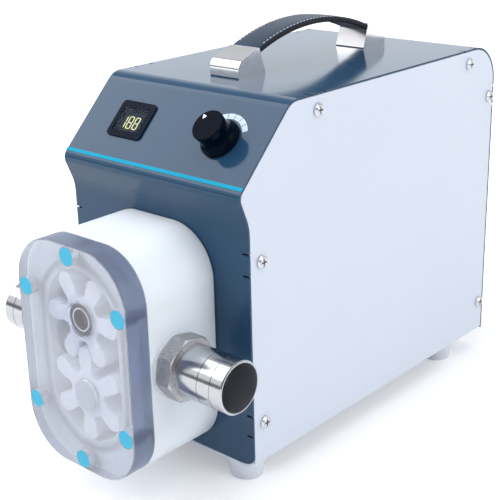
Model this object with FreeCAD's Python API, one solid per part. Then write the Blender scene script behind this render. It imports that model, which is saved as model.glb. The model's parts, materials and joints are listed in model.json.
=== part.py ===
# Viscous liquid pump: a lobe pump head with a clear cover on a sheet-metal drive case.
# +Z is up, the pump head points to -Y and the hose tails to +X and -X. Millimetres.
# The origin is on the floor, under the middle of the overall length and width.
import math
import os

import FreeCAD
import Part

V = FreeCAD.Vector

# Case
case_width = 156.0
case_height = 228.0
case_length = 277.5
sheet = 1.2
panel_gap = 0.3
bend_height = 159.0
sill_reach = 8.3
sill_height = 179.2
slope_end = 40.6
bend_radius = 28.0
sill_radius = 7.2
brow_radius = 15.0
rear_radius = 28.0
wrap_corner = 7.0
wrap_hang = 1.3
lap_drop = 56.0
lap_flange = 9.0
lap_inset = 4.5
tab_width = 12.8
tab_depth = 20.0
tab_gap = 0.1
slit = 1.3
slit_length = 5.0
foot_tab_half = 8.0
panel_flange = 20.0
panel_flange_inset = 7.5

# Base and feet
foot_height = 14.0
foot_top_radius = 13.2
foot_low_radius = 10.6
foot_edge = 1.2
foot_recess_radius = 5.0
foot_recess_depth = 7.0
foot_side_inset = 18.5
foot_front_inset = 13.5
foot_rear_inset = 37.5
base_sheet = 2.0
base_drop = 4.0
base_inset = 4.5
base_play = 0.2
base_corner = 5.0
upstand_height = 12.0
upstand_inset = 30.0

# Screws
screw_radius = 2.0
screw_head_radius = 4.25
screw_head_height = 2.4
screw_crown = 0.9
screw_crown_inset = 1.2
screw_play = 0.3
recess_width = 4.6
recess_depth = 1.3
side_screw_length = 8.0
foot_screw_tail = 2.0
base_screw_grip = 3.0
fan_screw_grip = 8.0
inlet_screw_grip = 4.0
lap_screw_grip = 2.0
front_screw_inset = 11.0
front_screw_low = 26.8
front_screw_high = 135.0
top_screw_inset = 10.5
top_screw_front = 66.0
top_screw_rear = 36.5
rear_screw_inset = 7.0
rear_screw_low = 23.5
rear_screw_drop = 39.0
lap_screw_inset = 20.0
panel_screw_x = 48.0
panel_screw_inset = 10.0

# Pump head
head_half_width = 49.3
head_half_height = 74.9
head_corner = 33.0
head_centre = 77.3
head_edge = 1.0
body_depth = 57.0
cover_thickness = 17.0
cover_edge = 0.8
cavity_depth = 43.0
pitch_radius = 25.15
lobe_count = 6
lobe_radius = 6.4
valley_root = 14.6
valley_round = 4.6
lobe_blend = 1.6
lobe_edge = 0.4
tip_clearance = 0.3
face_clearance = 0.1
cover_screw_x = 42.1
cover_screw_z = 39.05
cover_screw_end_z = 68.05
cover_screw_radius = 3.0
cover_screw_play = 0.3
cover_screw_length = 22.0
cover_head_radius = 5.0
cover_head_height = 6.0
socket_width = 5.0
socket_hole_depth = 3.0
cover_thread_depth = 18.0
cap_radius = 5.7
cap_thickness = 3.0
counterbore_radius = 6.0
counterbore_depth = 11.0
seal_offset = 3.4
seal_width = 3.0
seal_depth = 2.5
seal_clearance = 0.05
mount_x = 32.0
mount_z = 48.0
mount_screw_length = 14.0
mount_head_height = 5.0
mount_thread_depth = 11.0
mount_plate_thickness = 3.0
mount_plate_margin = 10.0

# Drive line
shaft_radius = 9.0
shaft_room = 0.5
spigot_radius = 6.0
running = 0.04
snug = 0.02
bolt_head_radius = 11.0
bolt_reach = 1.5
bolt_room = 0.6
bolt_edge = 0.8
bolt_seat_depth = 5.0
bolt_seat_play = 0.1
bolt_recess_radius = 6.5
bolt_recess_depth = 4.0
bolt_thread_radius = 4.0
bolt_thread_length = 14.0
bolt_thread_spare = 2.0
pin_radius = 8.0
pin_head_radius = 9.8
pin_head_length = 4.4
pin_seat_depth = 12.0
seal_ring_radius = 14.0
seal_ring_length = 5.0
bearing_radius = 17.5
bearing_length = 8.0
bearing_rim = 2.5
bearing_groove = 0.8
shaft_step = 5.5
shaft_break = 1.0
coupling_radius = 14.0
coupling_start = 15.0
coupling_end = 43.0
clamp_slot = 1.2
clamp_inset = 7.0
clamp_offset = 9.8
clamp_hole_radius = 1.6
clamp_pocket_half = 3.2
clamp_pocket_start = 6.0
bracket_half = 40.0
bracket_foot_start = 14.0
bracket_face = 46.0
bracket_thickness = 4.0
bracket_rise = 6.0
bracket_screw_x = 28.0
bracket_screw_front = 22.0
bracket_screw_rear = 38.0
gusset_thickness = 3.0
gusset_inset = 6.0
gusset_drop = 10.0
gusset_root = 1.0
gearbox_radius = 35.0
gearbox_length = 46.0
gearbox_screw_circle = 27.0
gearbox_screw_radius = 2.5
gearbox_screw_play = 0.2
gearbox_screw_length = 14.0
gearbox_head_radius = 4.25
gearbox_head_height = 4.0
gearbox_shaft_depth = 18.0
motor_radius = 38.0
motor_length = 94.0
motor_cap_length = 14.0
motor_cap_radius = 34.0
vent_count = 8
vent_radius = 2.5
vent_depth = 4.0
vent_inset = 8.0
terminal_half = 14.0
terminal_length = 32.0
terminal_inset = 8.0
terminal_rise = 12.0
terminal_root = 4.0

# Hose tails
tail_radius = 16.7
tail_bore_radius = 15.3
tail_end = 100.0
tail_edge = 0.7
groove_first = 9.2
groove_pitch = 9.9
groove_depth = 0.3
groove_width = 0.6
wrench_sides = 8
wrench_across_flats = 38.9
wrench_length = 11.4
wrench_turn = 11.5
wrench_bevel = 1.5
wrench_corner = 1.2
shank_radius = 14.5
shank_length = 15.0
shank_bore_radius = 12.8
tail_bore_inset = 4.0
port_drop = 1.4
port_back = 0.65
washer_radius = 21.3
washer_thickness = 1.6
washer_play = 0.1

# Control slope
strip_width = 2.4
strip_thickness = 0.4
strip_start = 4.8
bezel_left = -51.0
bezel_right = -20.0
bezel_low = 17.3
bezel_high = 44.1
bezel_height = 1.2
bezel_corner = 3.0
bezel_rim = 2.2
bezel_play = 0.2
bezel_depth = 9.0
bezel_body_corner = 1.0
window_left = -46.6
window_right = -25.7
window_low = 22.6
window_high = 38.6
window_thickness = 1.0
window_sink = 0.3
window_ledge = 1.2
window_play = 0.1
module_margin = 1.0
module_sink = 2.6
module_depth = 5.4
board_thickness = 1.6
board_margin = 4.0
leg_inset = 3.0
leg_half = 1.0
digit_left = -47.2
digit_low = 25.2
digit_width = 4.5
digit_height = 9.6
digit_pitch = 5.7
bar_width = 0.9
bar_gap = 0.25
bar_thickness = 0.3
knob_x = 43.0
knob_v = 30.0
knob_gap = 0.5
knob_skirt_radius = 13.3
knob_skirt_height = 2.0
knob_neck_radius = 10.3
knob_neck_height = 8.5
knob_top_radius = 10.8
knob_height = 16.0
knob_edge = 0.8
knob_foot_edge = 0.3
knob_roof = 5.0
knob_nut_room = 8.0
knob_nut_headroom = 2.3
knob_rest_angle = 137.0
pointer_tip = 9.7
pointer_base = 6.6
pointer_half = 1.6
pointer_depth = 0.6
dial_count = 7
dial_start = 28.5
dial_sweep = 130.9
dial_inner_radius = 14.8
dial_outer_radius = 18.6
dial_thickness = 0.15
dial_arc_gap = 1.6
pot_shaft_radius = 3.0
pot_shaft_depth = 7.0
pot_thread_radius = 3.5
pot_thread_over = 0.6
pot_body_radius = 8.5
pot_body_depth = 10.0
pot_terminal_x = 5.0
pot_terminal_half = 0.6
pot_terminal_thickness = 0.8
pot_terminal_reach = 5.0
pot_terminal_root = 2.5
pot_terminal_rise = 3.0
nut_across_flats = 11.0
nut_thickness = 2.2

# Handle
handle_half_width = 12.5
handle_front_inset = 67.0
handle_rear_inset = 48.5
cap_top_length = 20.8
cap_foot_length = 26.7
cap_front_height = 10.2
cap_back_height = 17.8
cap_foot_edge = 1.0
cap_nose_radius = 7.0
cap_lip_radius = 1.2
cap_back_edge = 0.6
handle_screw_inset = 12.0
handle_screw_x = 7.0
handle_screw_grip = 6.0
strap_half_width = 12.0
strap_thickness = 4.2
strap_rise = 11.9
strap_drop = 0.5
strap_bury = 9.0
strap_play = 0.05
core_half_width = 8.0
core_thickness = 1.2

# Supply and speed board
supply_half = 48.5
supply_start = 54.0
supply_length = 99.0
supply_height = 36.0
supply_step_length = 14.0
supply_step_height = 14.0
supply_screw_x = 36.0
supply_screw_inset = 12.0
supply_screw_depth = 6.0
supply_slot_rows = 4
supply_slot_first = 28.0
supply_slot_pitch = 14.0
supply_slot_half = 7.0
supply_slot_x = 22.0
supply_slot_width = 3.0
supply_slot_depth = 1.5
supply_terminal_count = 7
supply_terminal_pitch = 12.0
supply_terminal_half = 4.5
supply_terminal_inset = 2.0
supply_terminal_height = 10.0
board_start = 160.0
board_length = 48.0
board_half = 50.0
board_hole_inset = 6.0
standoff_width = 6.0
standoff_height = 9.0
standoff_pin_radius = 1.5
standoff_pin_length = 4.0
sink_start = 8.0
sink_length = 26.0
sink_near = 16.0
sink_far = 38.0
sink_height = 16.0
chip_start = 12.0
chip_length = 16.0
chip_height = 4.0
plug_start = 2.0
plug_length = 8.0
plug_half = 12.0
plug_height = 10.0
capacitor_radius = 5.0
capacitor_height = 14.0
capacitor_spacing = 7.0
capacitor_row = 38.0

# Power inlet
inlet_flange = 3.0
inlet_x = -42.0
inlet_height = 50.0
inlet_half_width = 24.0
inlet_half_height = 30.0
inlet_corner = 3.0
inlet_body_half_width = 15.0
inlet_body_half_height = 27.0
inlet_body_depth = 27.0
inlet_body_corner = 1.0
inlet_screw_x = 20.0
inlet_screw_sink = 0.2
inlet_screw_play = 0.2
socket_half = 12.2
socket_low = 22.0
socket_high = 5.0
socket_cut = 5.0
socket_depth = 17.0
blade_pitch = 7.0
blade_drop = 13.5
blade_offset = 2.0
blade_half_width = 1.0
blade_half_height = 2.0
blade_front = 13.0
blade_back = 11.0
drawer_half_width = 11.5
drawer_half_height = 4.2
drawer_depth = 22.0
drawer_rise = 1.5
drawer_play = 0.2
drawer_wall = 1.3
drawer_lip = 2.6
grip_half = 5.0
grip_front = 0.6
grip_depth = 1.6
fuse_radius = 2.5
fuse_cap_over = 0.1
fuse_bed_over = 0.2
fuse_cap_length = 4.0
fuse_half_length = 10.0
fuse_depth = 14.0
rocker_half_width = 9.5
rocker_half_height = 8.6
rocker_rise = 16.5
rocker_side_play = 0.3
rocker_end_play = 0.6
rocker_room = 12.0
rocker_sink = 1.2
rocker_dip = 1.1
rocker_skirt = 4.0
rocker_taper = 0.7
rocker_heel = 8.0
rocker_pivot_depth = 3.5
rocker_pivot_radius = 1.5
rocker_pivot_reach = 2.3
rocker_tilt = 7.0

# Fan
fan_x = 34.0
fan_gap = 2.0
fan_size = 60.0
fan_depth = 25.0
fan_corner = 4.0
fan_bore_radius = 28.5
fan_blade_radius = 27.2
fan_hub_radius = 12.5
fan_hub_plate = 4.0
fan_strut = 3.0
fan_strut_half = 2.0
fan_axle_radius = 1.5
fan_axle_length = 3.8
fan_rotor_gap = 0.6
fan_front_gap = 1.5
fan_screw_pitch = 25.0
fan_screw_depth = 10.0
fan_blade_count = 7
fan_blade_chord = 15.0
fan_blade_thickness = 1.6
fan_blade_angle = 35.0
fan_blade_root = 2.0
grille_rings = 4
grille_first = 8.5
grille_pitch = 6.0
grille_slot = 3.4
grille_spoke_half = 2.0

# Derived places
past = 1.0
head_reach = body_depth + cover_thickness
front = head_reach - (head_reach + case_length + inlet_flange) / 2
rear = front + case_length
floor = foot_height + base_drop
top = floor + case_height
half_width = case_width / 2
inner_half = half_width - sheet
cover_back = front - body_depth
cover_front = cover_back - cover_thickness
cavity_back = cover_back + cavity_depth
head_z = floor + head_centre
drive_z = head_z + pitch_radius
idler_z = head_z - pitch_radius
tip_radius = pitch_radius + lobe_radius
cavity_radius = tip_radius + tip_clearance
port_y = (cover_back + cavity_back) / 2 + port_back
port_z = head_z - port_drop
base_low = floor - base_drop
base_top = base_low + base_sheet
base_half = half_width - base_inset
wrap_low = floor - wrap_hang
lap_z = top - lap_drop
slope_angle = math.degrees(math.atan2(case_height - sill_height, slope_end + sill_reach))
foot_x = half_width - foot_side_inset
handle_start = front + handle_front_inset
handle_end = rear - handle_rear_inset
wrench_start = head_half_width + washer_thickness
wrench_end = wrench_start + wrench_length
inlet_face = rear + inlet_flange
inlet_z = floor + inlet_height
rocker_z = inlet_z + rocker_rise
drawer_z = inlet_z + drawer_rise
fan_z = lap_z - panel_gap - lap_flange - fan_gap - fan_size / 2
coupling_middle = front + (coupling_start + coupling_end) / 2
bracket_y = front + bracket_face
gearbox_y = bracket_y + bracket_thickness
supply_y = front + supply_start
supply_end = supply_y + supply_length
board_y = front + board_start
cap_height = bezel_height - window_sink


def box(x0, x1, y0, y1, z0, z1):
    return Part.makeBox(x1 - x0, y1 - y0, z1 - z0, V(x0, y0, z0))


def rod_x(radius, x0, x1, y, z):
    return Part.makeCylinder(radius, x1 - x0, V(x0, y, z), V(1, 0, 0))


def rod_y(radius, y0, y1, x, z):
    return Part.makeCylinder(radius, y1 - y0, V(x, y0, z), V(0, 1, 0))


def rod_z(radius, z0, z1, x, y):
    return Part.makeCylinder(radius, z1 - z0, V(x, y, z0))


def prism(points, along):
    return Part.Face(Part.makePolygon([*points, points[0]])).extrude(along)


def rounded_points_wire(points, radii):
    """Closed wire through the points, with each corner rounded by its own radius."""
    edges = []
    ends = []
    count = len(points)
    for i in range(count):
        corner = points[i]
        back = (points[i - 1] - corner).normalize()
        ahead = (points[(i + 1) % count] - corner).normalize()
        half = back.getAngle(ahead) / 2
        reach = radii[i] / math.tan(half) if radii[i] else 0.0
        start = corner + back * reach
        end = corner + ahead * reach
        if reach:
            inward = (back + ahead).normalize()
            middle = corner + inward * (radii[i] / math.sin(half) - radii[i])
            edges.append(Part.Arc(start, middle, end).toShape())
        ends.append((start, end))
    for i in range(count):
        edges.append(Part.makeLine(ends[i][1], ends[(i + 1) % count][0]))
    return Part.Wire(Part.__sortEdges__(edges))


def rounded_prism(points, radii, along):
    return Part.Face(rounded_points_wire(points, radii)).extrude(along)


def rounded_block_y(half_x, half_z, radius, y0, y1, x, z):
    corners = [V(x + sx * half_x, y0, z + sz * half_z)
               for sx, sz in ((-1, -1), (1, -1), (1, 1), (-1, 1))]
    return rounded_prism(corners, [radius] * len(corners), V(0, y1 - y0, 0))


def rounded_block_z(x0, x1, y0, y1, radius, z0, z1):
    corners = [V(x0, y0, z0), V(x1, y0, z0), V(x1, y1, z0), V(x0, y1, z0)]
    return rounded_prism(corners, [radius] * len(corners), V(0, 0, z1 - z0))


def many_sided(sides, across_flats, z0, z1, turn=0.0, corner_radius=0.0):
    corner = across_flats / 2 / math.cos(math.pi / sides)
    angles = [math.radians(turn + 360 * i / sides) for i in range(sides)]
    points = [V(corner * math.cos(a), corner * math.sin(a), z0) for a in angles]
    return rounded_prism(points, [corner_radius] * len(points), V(0, 0, z1 - z0))


def hexagon(across_flats, z0, z1):
    return many_sided(6, across_flats, z0, z1)


def fused(shapes):
    shapes = list(shapes)
    whole = shapes[0]
    for shape in shapes[1:]:
        whole = whole.fuse(shape)
    return whole.removeSplitter()


def cut_all(shape, tools):
    for tool in tools:
        shape = shape.cut(tool)
    return shape


def flipped(shape):
    """Mirror a shape from the right side of the pump to the left."""
    return shape.mirror(V(0, 0, 0), V(1, 0, 0))


def carried(shape, position, rotation):
    """Copy a shape, turned about the origin and then moved, on top of its own placement."""
    moved = shape.copy()
    moved.Placement = FreeCAD.Placement(position, rotation).multiply(moved.Placement)
    return moved


def placed(shape, position, direction):
    """Move a shape made at the origin along +Z to a place and a direction."""
    return carried(shape, position, FreeCAD.Rotation(V(0, 0, 1), direction))


def on_slope(shape):
    """Carry a shape from slope coordinates (across, up the slope, outward) to the case."""
    origin = V(0, front - sill_reach, floor + sill_height)
    return carried(shape, origin, FreeCAD.Rotation(V(1, 0, 0), slope_angle))


def up_slope(v):
    """Distance up the slope from the sill corner of a place measured from the strip."""
    return strip_start + v


# Screws of three kinds, each made with its head's seat at the origin and its head up

def cross_recess(width, depth, height):
    half = width / 2
    arm = width / 10
    one = box(-half, half, -arm, arm, height - depth, height)
    return one.fuse(box(-arm, arm, -half, half, height - depth, height))


def pan_screw(length, recess=True):
    shoulder = screw_head_height - screw_crown
    screw = fused([Part.makeCylinder(screw_head_radius, shoulder),
                   Part.makeCone(screw_head_radius, screw_head_radius - screw_crown_inset, screw_crown,
                                 V(0, 0, shoulder)),
                   Part.makeCylinder(screw_radius, length, V(0, 0, -length))])
    return screw.cut(cross_recess(recess_width, recess_depth, screw_head_height)) if recess else screw


def socket_screw(head_radius, head_height, radius, length):
    head = Part.makeCylinder(head_radius, head_height)
    head = head.cut(hexagon(socket_width, head_height - socket_hole_depth, head_height + past))
    return fused([head, Part.makeCylinder(radius, length, V(0, 0, -length))])


def screws_at(screw, places, direction):
    return Part.makeCompound([placed(screw, V(*place), direction) for place in places])


# Sheet-metal case

def case_face(inset, low):
    """Side outline of the case, drawn on the plane x = 0 and moved inward by an inset."""
    points = [V(0, front, low), V(0, front, floor + bend_height),
              V(0, front - sill_reach, floor + sill_height),
              V(0, front + slope_end, top), V(0, rear, top), V(0, rear, low)]
    radii = [0.0, bend_radius, sill_radius, brow_radius, rear_radius, 0.0]
    face = Part.Face(rounded_points_wire(points, radii))
    return face.makeOffset2D(-inset) if inset else face


def across(face, x0, x1):
    moved = face.copy()
    moved.translate(V(x0, 0, 0))
    return moved.extrude(V(x1 - x0, 0, 0))


def side_screw_places():
    """Edge of the case that each side-panel screw sits by, and its place."""
    y_front = front + front_screw_inset
    y_rear = rear - rear_screw_inset
    z_top = top - top_screw_inset
    return [("front", y_front, floor + front_screw_low),
            ("front", y_front, floor + front_screw_high),
            ("top", front + top_screw_front, z_top),
            ("top", rear - top_screw_rear, z_top),
            ("rear", y_rear, top - rear_screw_drop),
            ("rear_low", y_rear, floor + rear_screw_low)]


def side_tab(edge, y, z):
    """Tab bent inward from the sheet behind a screw of the right side panel."""
    x1 = inner_half - tab_gap
    x0 = x1 - sheet
    half = tab_width / 2
    if edge == "top":
        tab = box(x0, x1, y - half, y + half, top - tab_depth, top - sheet / 2)
    elif edge == "front":
        tab = box(x0, x1, front + sheet / 2, front + tab_depth, z - half, z + half)
    else:
        tab = box(x0, x1, rear - tab_depth, rear - sheet / 2, z - half, z + half)
    bridge = tab_gap + sheet
    if edge == "top":
        root = box(x0, x1 + bridge, y - half, y + half, top - sheet, top - sheet / 2)
    elif edge == "front":
        root = box(x0, x1 + bridge, front + sheet / 2, front + sheet, z - half, z + half)
    else:
        root = box(x0, x1 + bridge, rear - sheet, rear - sheet / 2, z - half, z + half)
    return tab.fuse(root).cut(rod_x(screw_radius, x0 - past, x1 + past, y, z))


def tab_slits(edge, y, z):
    """Relief slits in the sheet at both ends of a tab."""
    x0 = half_width - slit_length
    x1 = half_width + past
    cuts = []
    for side in (-1, 1):
        shift = side * (tab_width + slit) / 2 - slit / 2
        if edge == "top":
            cuts.append(box(x0, x1, y + shift, y + shift + slit, top - sheet - past, top + past))
        elif edge == "front":
            cuts.append(box(x0, x1, front - past, front + sheet + past, z + shift, z + shift + slit))
        else:
            cuts.append(box(x0, x1, rear - sheet - past, rear + past, z + shift, z + shift + slit))
    return cuts


def wrap_sheet():
    """Sheet folded over the front, the slope, the top and the upper part of the rear."""
    deep = floor - 2 * rear_radius
    wrap = across(case_face(0, deep), -half_width, half_width)
    wrap = wrap.cut(across(case_face(sheet, deep - past), -half_width - past, half_width + past))
    wrap = wrap.cut(box(-case_width, case_width, front - past, rear + past, deep - 2 * past, wrap_low))
    wrap = wrap.cut(box(-case_width, case_width, rear - rear_radius, rear + past, deep, lap_z))
    corner = box(0, wrap_corner, front - past, front + sheet + past, 0, wrap_corner)
    corner = corner.cut(rod_y(wrap_corner, front - 2 * past, front + sheet + 2 * past, 0, wrap_corner))
    corner.translate(V(half_width - wrap_corner, 0, wrap_low))
    return cut_all(wrap, [corner, flipped(corner)])


def front_top_shell():
    upper = [place for place in side_screw_places() if place[0] != "rear_low"]
    tabs = [side_tab(*place) for place in upper]
    foot_y = front + foot_front_inset
    foot_tabs = [box(x - foot_tab_half, x + foot_tab_half, front + sheet / 2, foot_y + foot_tab_half,
                     base_top, base_top + sheet) for x in (-foot_x, foot_x)]
    shell = fused([wrap_sheet(), *foot_tabs, *tabs, *[flipped(tab) for tab in tabs]])
    cuts = [cut for place in upper for cut in tab_slits(*place)]
    cuts += [flipped(cut) for cut in cuts]
    cuts += [rod_z(screw_radius, base_top - past, base_top + sheet + past, x, foot_y)
             for x in (-foot_x, foot_x)]
    return cut_all(shell, cuts + shell_openings())


def shell_openings():
    y0 = front - past
    y1 = front + sheet + past
    hole = rod_y(bearing_radius - bearing_rim, y0, y1, 0, drive_z)
    mounts = [rod_y(cover_screw_radius + cover_screw_play, y0, y1, x, z) for x, z in mount_places()]
    display = on_slope(rounded_block_z(bezel_left + bezel_rim, bezel_right - bezel_rim,
                                       up_slope(bezel_low) + bezel_rim, up_slope(bezel_high) - bezel_rim,
                                       bezel_body_corner, -sheet - past, past))
    bush = on_slope(rod_z(pot_thread_radius + screw_play / 2, -sheet - past, past, knob_x, up_slope(knob_v)))
    handles = [rod_z(screw_radius + screw_play, top - sheet - past, top + past, x, y)
               for x, y in handle_screw_places()]
    laps = [rod_y(screw_radius + screw_play, rear - sheet - past, rear + past, x, z)
            for x, z in lap_screw_places()]
    return [hole, *mounts, display, bush, *handles, *laps]


def lap_screw_places():
    x = half_width - lap_screw_inset
    return [(sx * x, lap_z + lap_flange / 2 + screw_play) for sx in (-1, 1)]


def mount_places():
    return [(sx * mount_x, head_z + sz * mount_z) for sx in (-1, 1) for sz in (-1, 1)]


def side_panel(side):
    face = case_face(sheet + panel_gap, floor - 2 * rear_radius)
    plate = across(face, inner_half, half_width)
    plate = plate.cut(box(0, case_width, front - case_length, rear + past, -case_height, floor))
    holes = [rod_x(screw_radius + screw_play / 2, inner_half - past, half_width + past, y, z)
             for edge, y, z in side_screw_places()]
    plate = cut_all(plate, holes)
    return plate if side > 0 else flipped(plate)


def side_panel_screws(side):
    return screws_at(pan_screw(side_screw_length),
                     [(side * half_width, y, z) for edge, y, z in side_screw_places()], V(side, 0, 0))


def base_pan():
    plate = rounded_block_z(-base_half, base_half, front + base_play, rear - base_play, base_corner,
                            base_low, base_top)
    sides = [box(x0, x0 + sheet, front + upstand_inset, rear - upstand_inset, base_low,
                 base_top + upstand_height) for x0 in (-base_half, base_half - sheet)]
    holes = [rod_z(screw_radius + screw_play, base_low - past, base_top + past, x, y)
             for x, y in foot_places() + base_screw_places()]
    return cut_all(fused([plate, *sides]), holes)


def foot_places():
    return [(x, y) for x in (-foot_x, foot_x) for y in (front + foot_front_inset, rear - foot_rear_inset)]


def bracket_screw_places():
    return [(sx * bracket_screw_x, front + y) for sx in (-1, 1)
            for y in (bracket_screw_front, bracket_screw_rear)]


def supply_screw_places():
    return [(sx * supply_screw_x, y) for sx in (-1, 1)
            for y in (supply_y + supply_screw_inset, supply_end - supply_screw_inset)]


def panel_screw_places():
    return [(sx * panel_screw_x, rear - panel_screw_inset) for sx in (-1, 1)]


def base_screw_places():
    return bracket_screw_places() + supply_screw_places() + panel_screw_places()


def feet():
    pads = []
    for x, y in foot_places():
        foot = Part.makeCone(foot_low_radius, foot_top_radius, foot_height, V(x, y, 0))
        foot = foot.makeFillet(foot_edge, [e for e in foot.Edges if abs(e.BoundBox.ZMax) < snug])
        pads.append(cut_all(foot, [rod_z(foot_recess_radius, -past, foot_recess_depth, x, y),
                                   rod_z(screw_radius + screw_play, 0, foot_height + past, x, y)]))
    return Part.makeCompound(pads)


def foot_screws():
    screw = pan_screw(foot_height - foot_recess_depth + base_sheet + sheet + foot_screw_tail, recess=False)
    return screws_at(screw, [(x, y, foot_recess_depth) for x, y in foot_places()], V(0, 0, -1))


def base_screws():
    screw = pan_screw(base_sheet + base_screw_grip, recess=False)
    return screws_at(screw, [(x, y, base_low) for x, y in base_screw_places()], V(0, 0, -1))


def rear_panel():
    high = lap_z - panel_gap
    plate = box(-half_width, half_width, rear - sheet, rear, wrap_low, high)
    lap = box(-inner_half + lap_inset, inner_half - lap_inset, rear - 2 * sheet, rear - sheet,
              high - lap_flange, high + lap_flange)
    flange = box(-inner_half + panel_flange_inset, inner_half - panel_flange_inset, rear - panel_flange,
                 rear - sheet / 2, base_top, base_top + sheet)
    tabs = [side_tab(*place) for place in side_screw_places() if place[0] == "rear_low"]
    panel = fused([plate, lap, flange, *tabs, *[flipped(tab) for tab in tabs]])
    inlet = rounded_block_y(inlet_body_half_width + screw_play, inlet_body_half_height + screw_play,
                            inlet_body_corner, rear - 2 * sheet, rear + past, inlet_x, inlet_z)
    screws = [rod_y(screw_radius, rear - 2 * sheet - past, rear + past, x, z)
              for x, z in lap_screw_places() + inlet_screw_places() + fan_screw_places()]
    base_holes = [rod_z(screw_radius, base_top - past, base_top + sheet + past, x, y)
                  for x, y in panel_screw_places()]
    return cut_all(panel, [inlet, *screws, *base_holes, *grille_slots()])


def grille_slots():
    """Rings of slots in the rear panel, kept apart by four spokes."""
    y0 = rear - sheet - past
    y1 = rear + past
    half = fan_size / 2
    spokes = box(fan_x - half, fan_x + half, y0, y1, fan_z - grille_spoke_half, fan_z + grille_spoke_half)
    spokes = spokes.fuse(box(fan_x - grille_spoke_half, fan_x + grille_spoke_half, y0, y1,
                             fan_z - half, fan_z + half))
    slots = []
    for i in range(grille_rings):
        radius = grille_first + i * grille_pitch
        ring = rod_y(radius + grille_slot / 2, y0, y1, fan_x, fan_z)
        ring = ring.cut(rod_y(radius - grille_slot / 2, y0, y1, fan_x, fan_z))
        slots.append(ring.cut(spokes))
    return slots


def fan_screw_places():
    return [(fan_x + sx * fan_screw_pitch, fan_z + sz * fan_screw_pitch)
            for sx in (-1, 1) for sz in (-1, 1)]


def inlet_screw_places():
    return [(inlet_x + side * inlet_screw_x, inlet_z) for side in (-1, 1)]


def rear_screws():
    seat = inlet_face - inlet_screw_sink - screw_head_height
    out = V(0, 1, 0)
    return Part.makeCompound([
        screws_at(pan_screw(sheet + fan_screw_grip), [(x, rear, z) for x, z in fan_screw_places()], out),
        screws_at(pan_screw(sheet + inlet_screw_grip), [(x, seat, z) for x, z in inlet_screw_places()], out),
        screws_at(pan_screw(2 * sheet + lap_screw_grip), [(x, rear, z) for x, z in lap_screw_places()], out)])


# Control slope

def accent_strip():
    return on_slope(box(-half_width, half_width, strip_start, strip_start + strip_width, 0, strip_thickness))


def window_box(ledge, low, high):
    return box(window_left - ledge, window_right + ledge, up_slope(window_low) - ledge,
               up_slope(window_high) + ledge, low, high)


def display_bezel():
    low = up_slope(bezel_low)
    high = up_slope(bezel_high)
    rim = rounded_block_z(bezel_left, bezel_right, low, high, bezel_corner, 0, bezel_height)
    inset = bezel_rim + bezel_play
    body = rounded_block_z(bezel_left + inset, bezel_right - inset, low + inset, high - inset,
                           bezel_body_corner, -bezel_depth, 0)
    sight = window_box(0, -bezel_depth - past, bezel_height + past)
    seat = window_box(window_ledge, cap_height - window_thickness, bezel_height + past)
    pocket = window_box(window_ledge, -bezel_depth - past, window_play - module_sink)
    return on_slope(cut_all(rim.fuse(body).removeSplitter(), [sight, seat, pocket]))


def display_window():
    return on_slope(window_box(window_ledge - window_play, cap_height - window_thickness, cap_height))


def display_board():
    module = window_box(module_margin, -module_sink - module_depth, -module_sink)
    board = box(bezel_left + board_margin, bezel_right - board_margin, up_slope(bezel_low) + board_margin,
                up_slope(bezel_high) - board_margin, -bezel_depth - board_thickness, -bezel_depth)
    legs = [box(x - leg_half, x + leg_half, v - leg_half, v + leg_half, -bezel_depth,
                -module_sink - module_depth)
            for x in (window_left + leg_inset, window_right - leg_inset)
            for v in (up_slope(window_low) + leg_inset, up_slope(window_high) - leg_inset)]
    return on_slope(fused([module, board, *legs]))


def digit_segments(lit, x):
    """Lit bars of one seven-segment figure, a to g."""
    low = up_slope(digit_low)
    half = digit_height / 2
    places = {
        "a": (bar_gap, digit_width - bar_gap, digit_height - bar_width, digit_height),
        "b": (digit_width - bar_width, digit_width, half + bar_gap, digit_height - bar_gap),
        "c": (digit_width - bar_width, digit_width, bar_gap, half - bar_gap),
        "d": (bar_gap, digit_width - bar_gap, 0, bar_width),
        "e": (0, bar_width, bar_gap, half - bar_gap),
        "f": (0, bar_width, half + bar_gap, digit_height - bar_gap),
        "g": (bar_gap, digit_width - bar_gap, half - bar_width / 2, half + bar_width / 2),
    }
    bars = []
    for name in lit:
        x0, x1, v0, v1 = places[name]
        corners = [(x0, v0), (x1, v0), (x1, v1), (x0, v1)]
        points = [V(x + across_bar, low + v, -module_sink) for across_bar, v in corners]
        bars.append(prism(points, V(0, 0, bar_thickness)))
    return bars


def display_digits():
    """The reading 188."""
    bars = []
    for i, lit in enumerate(("bc", "abcdefg", "abcdefg")):
        bars += digit_segments(lit, digit_left + i * digit_pitch)
    return on_slope(Part.makeCompound(bars))


def top_rim(shape, height):
    """Round edges of a shape that lie at one height."""
    return [e for e in shape.Edges if abs(e.BoundBox.ZMin - height) < snug
            and abs(e.BoundBox.ZMax - height) < snug and e.BoundBox.XLength > snug]


def at_knob(shape):
    return carried(shape, V(knob_x, up_slope(knob_v), 0), FreeCAD.Rotation(V(0, 0, 1), knob_rest_angle))


def pointer_shape():
    """Triangle near the knob's rim with its tip outward, along +X before it is turned."""
    low = knob_height - pointer_depth
    points = [V(pointer_tip, 0, low), V(pointer_base, pointer_half, low), V(pointer_base, -pointer_half, low)]
    return prism(points, V(0, 0, pointer_depth))


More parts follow.
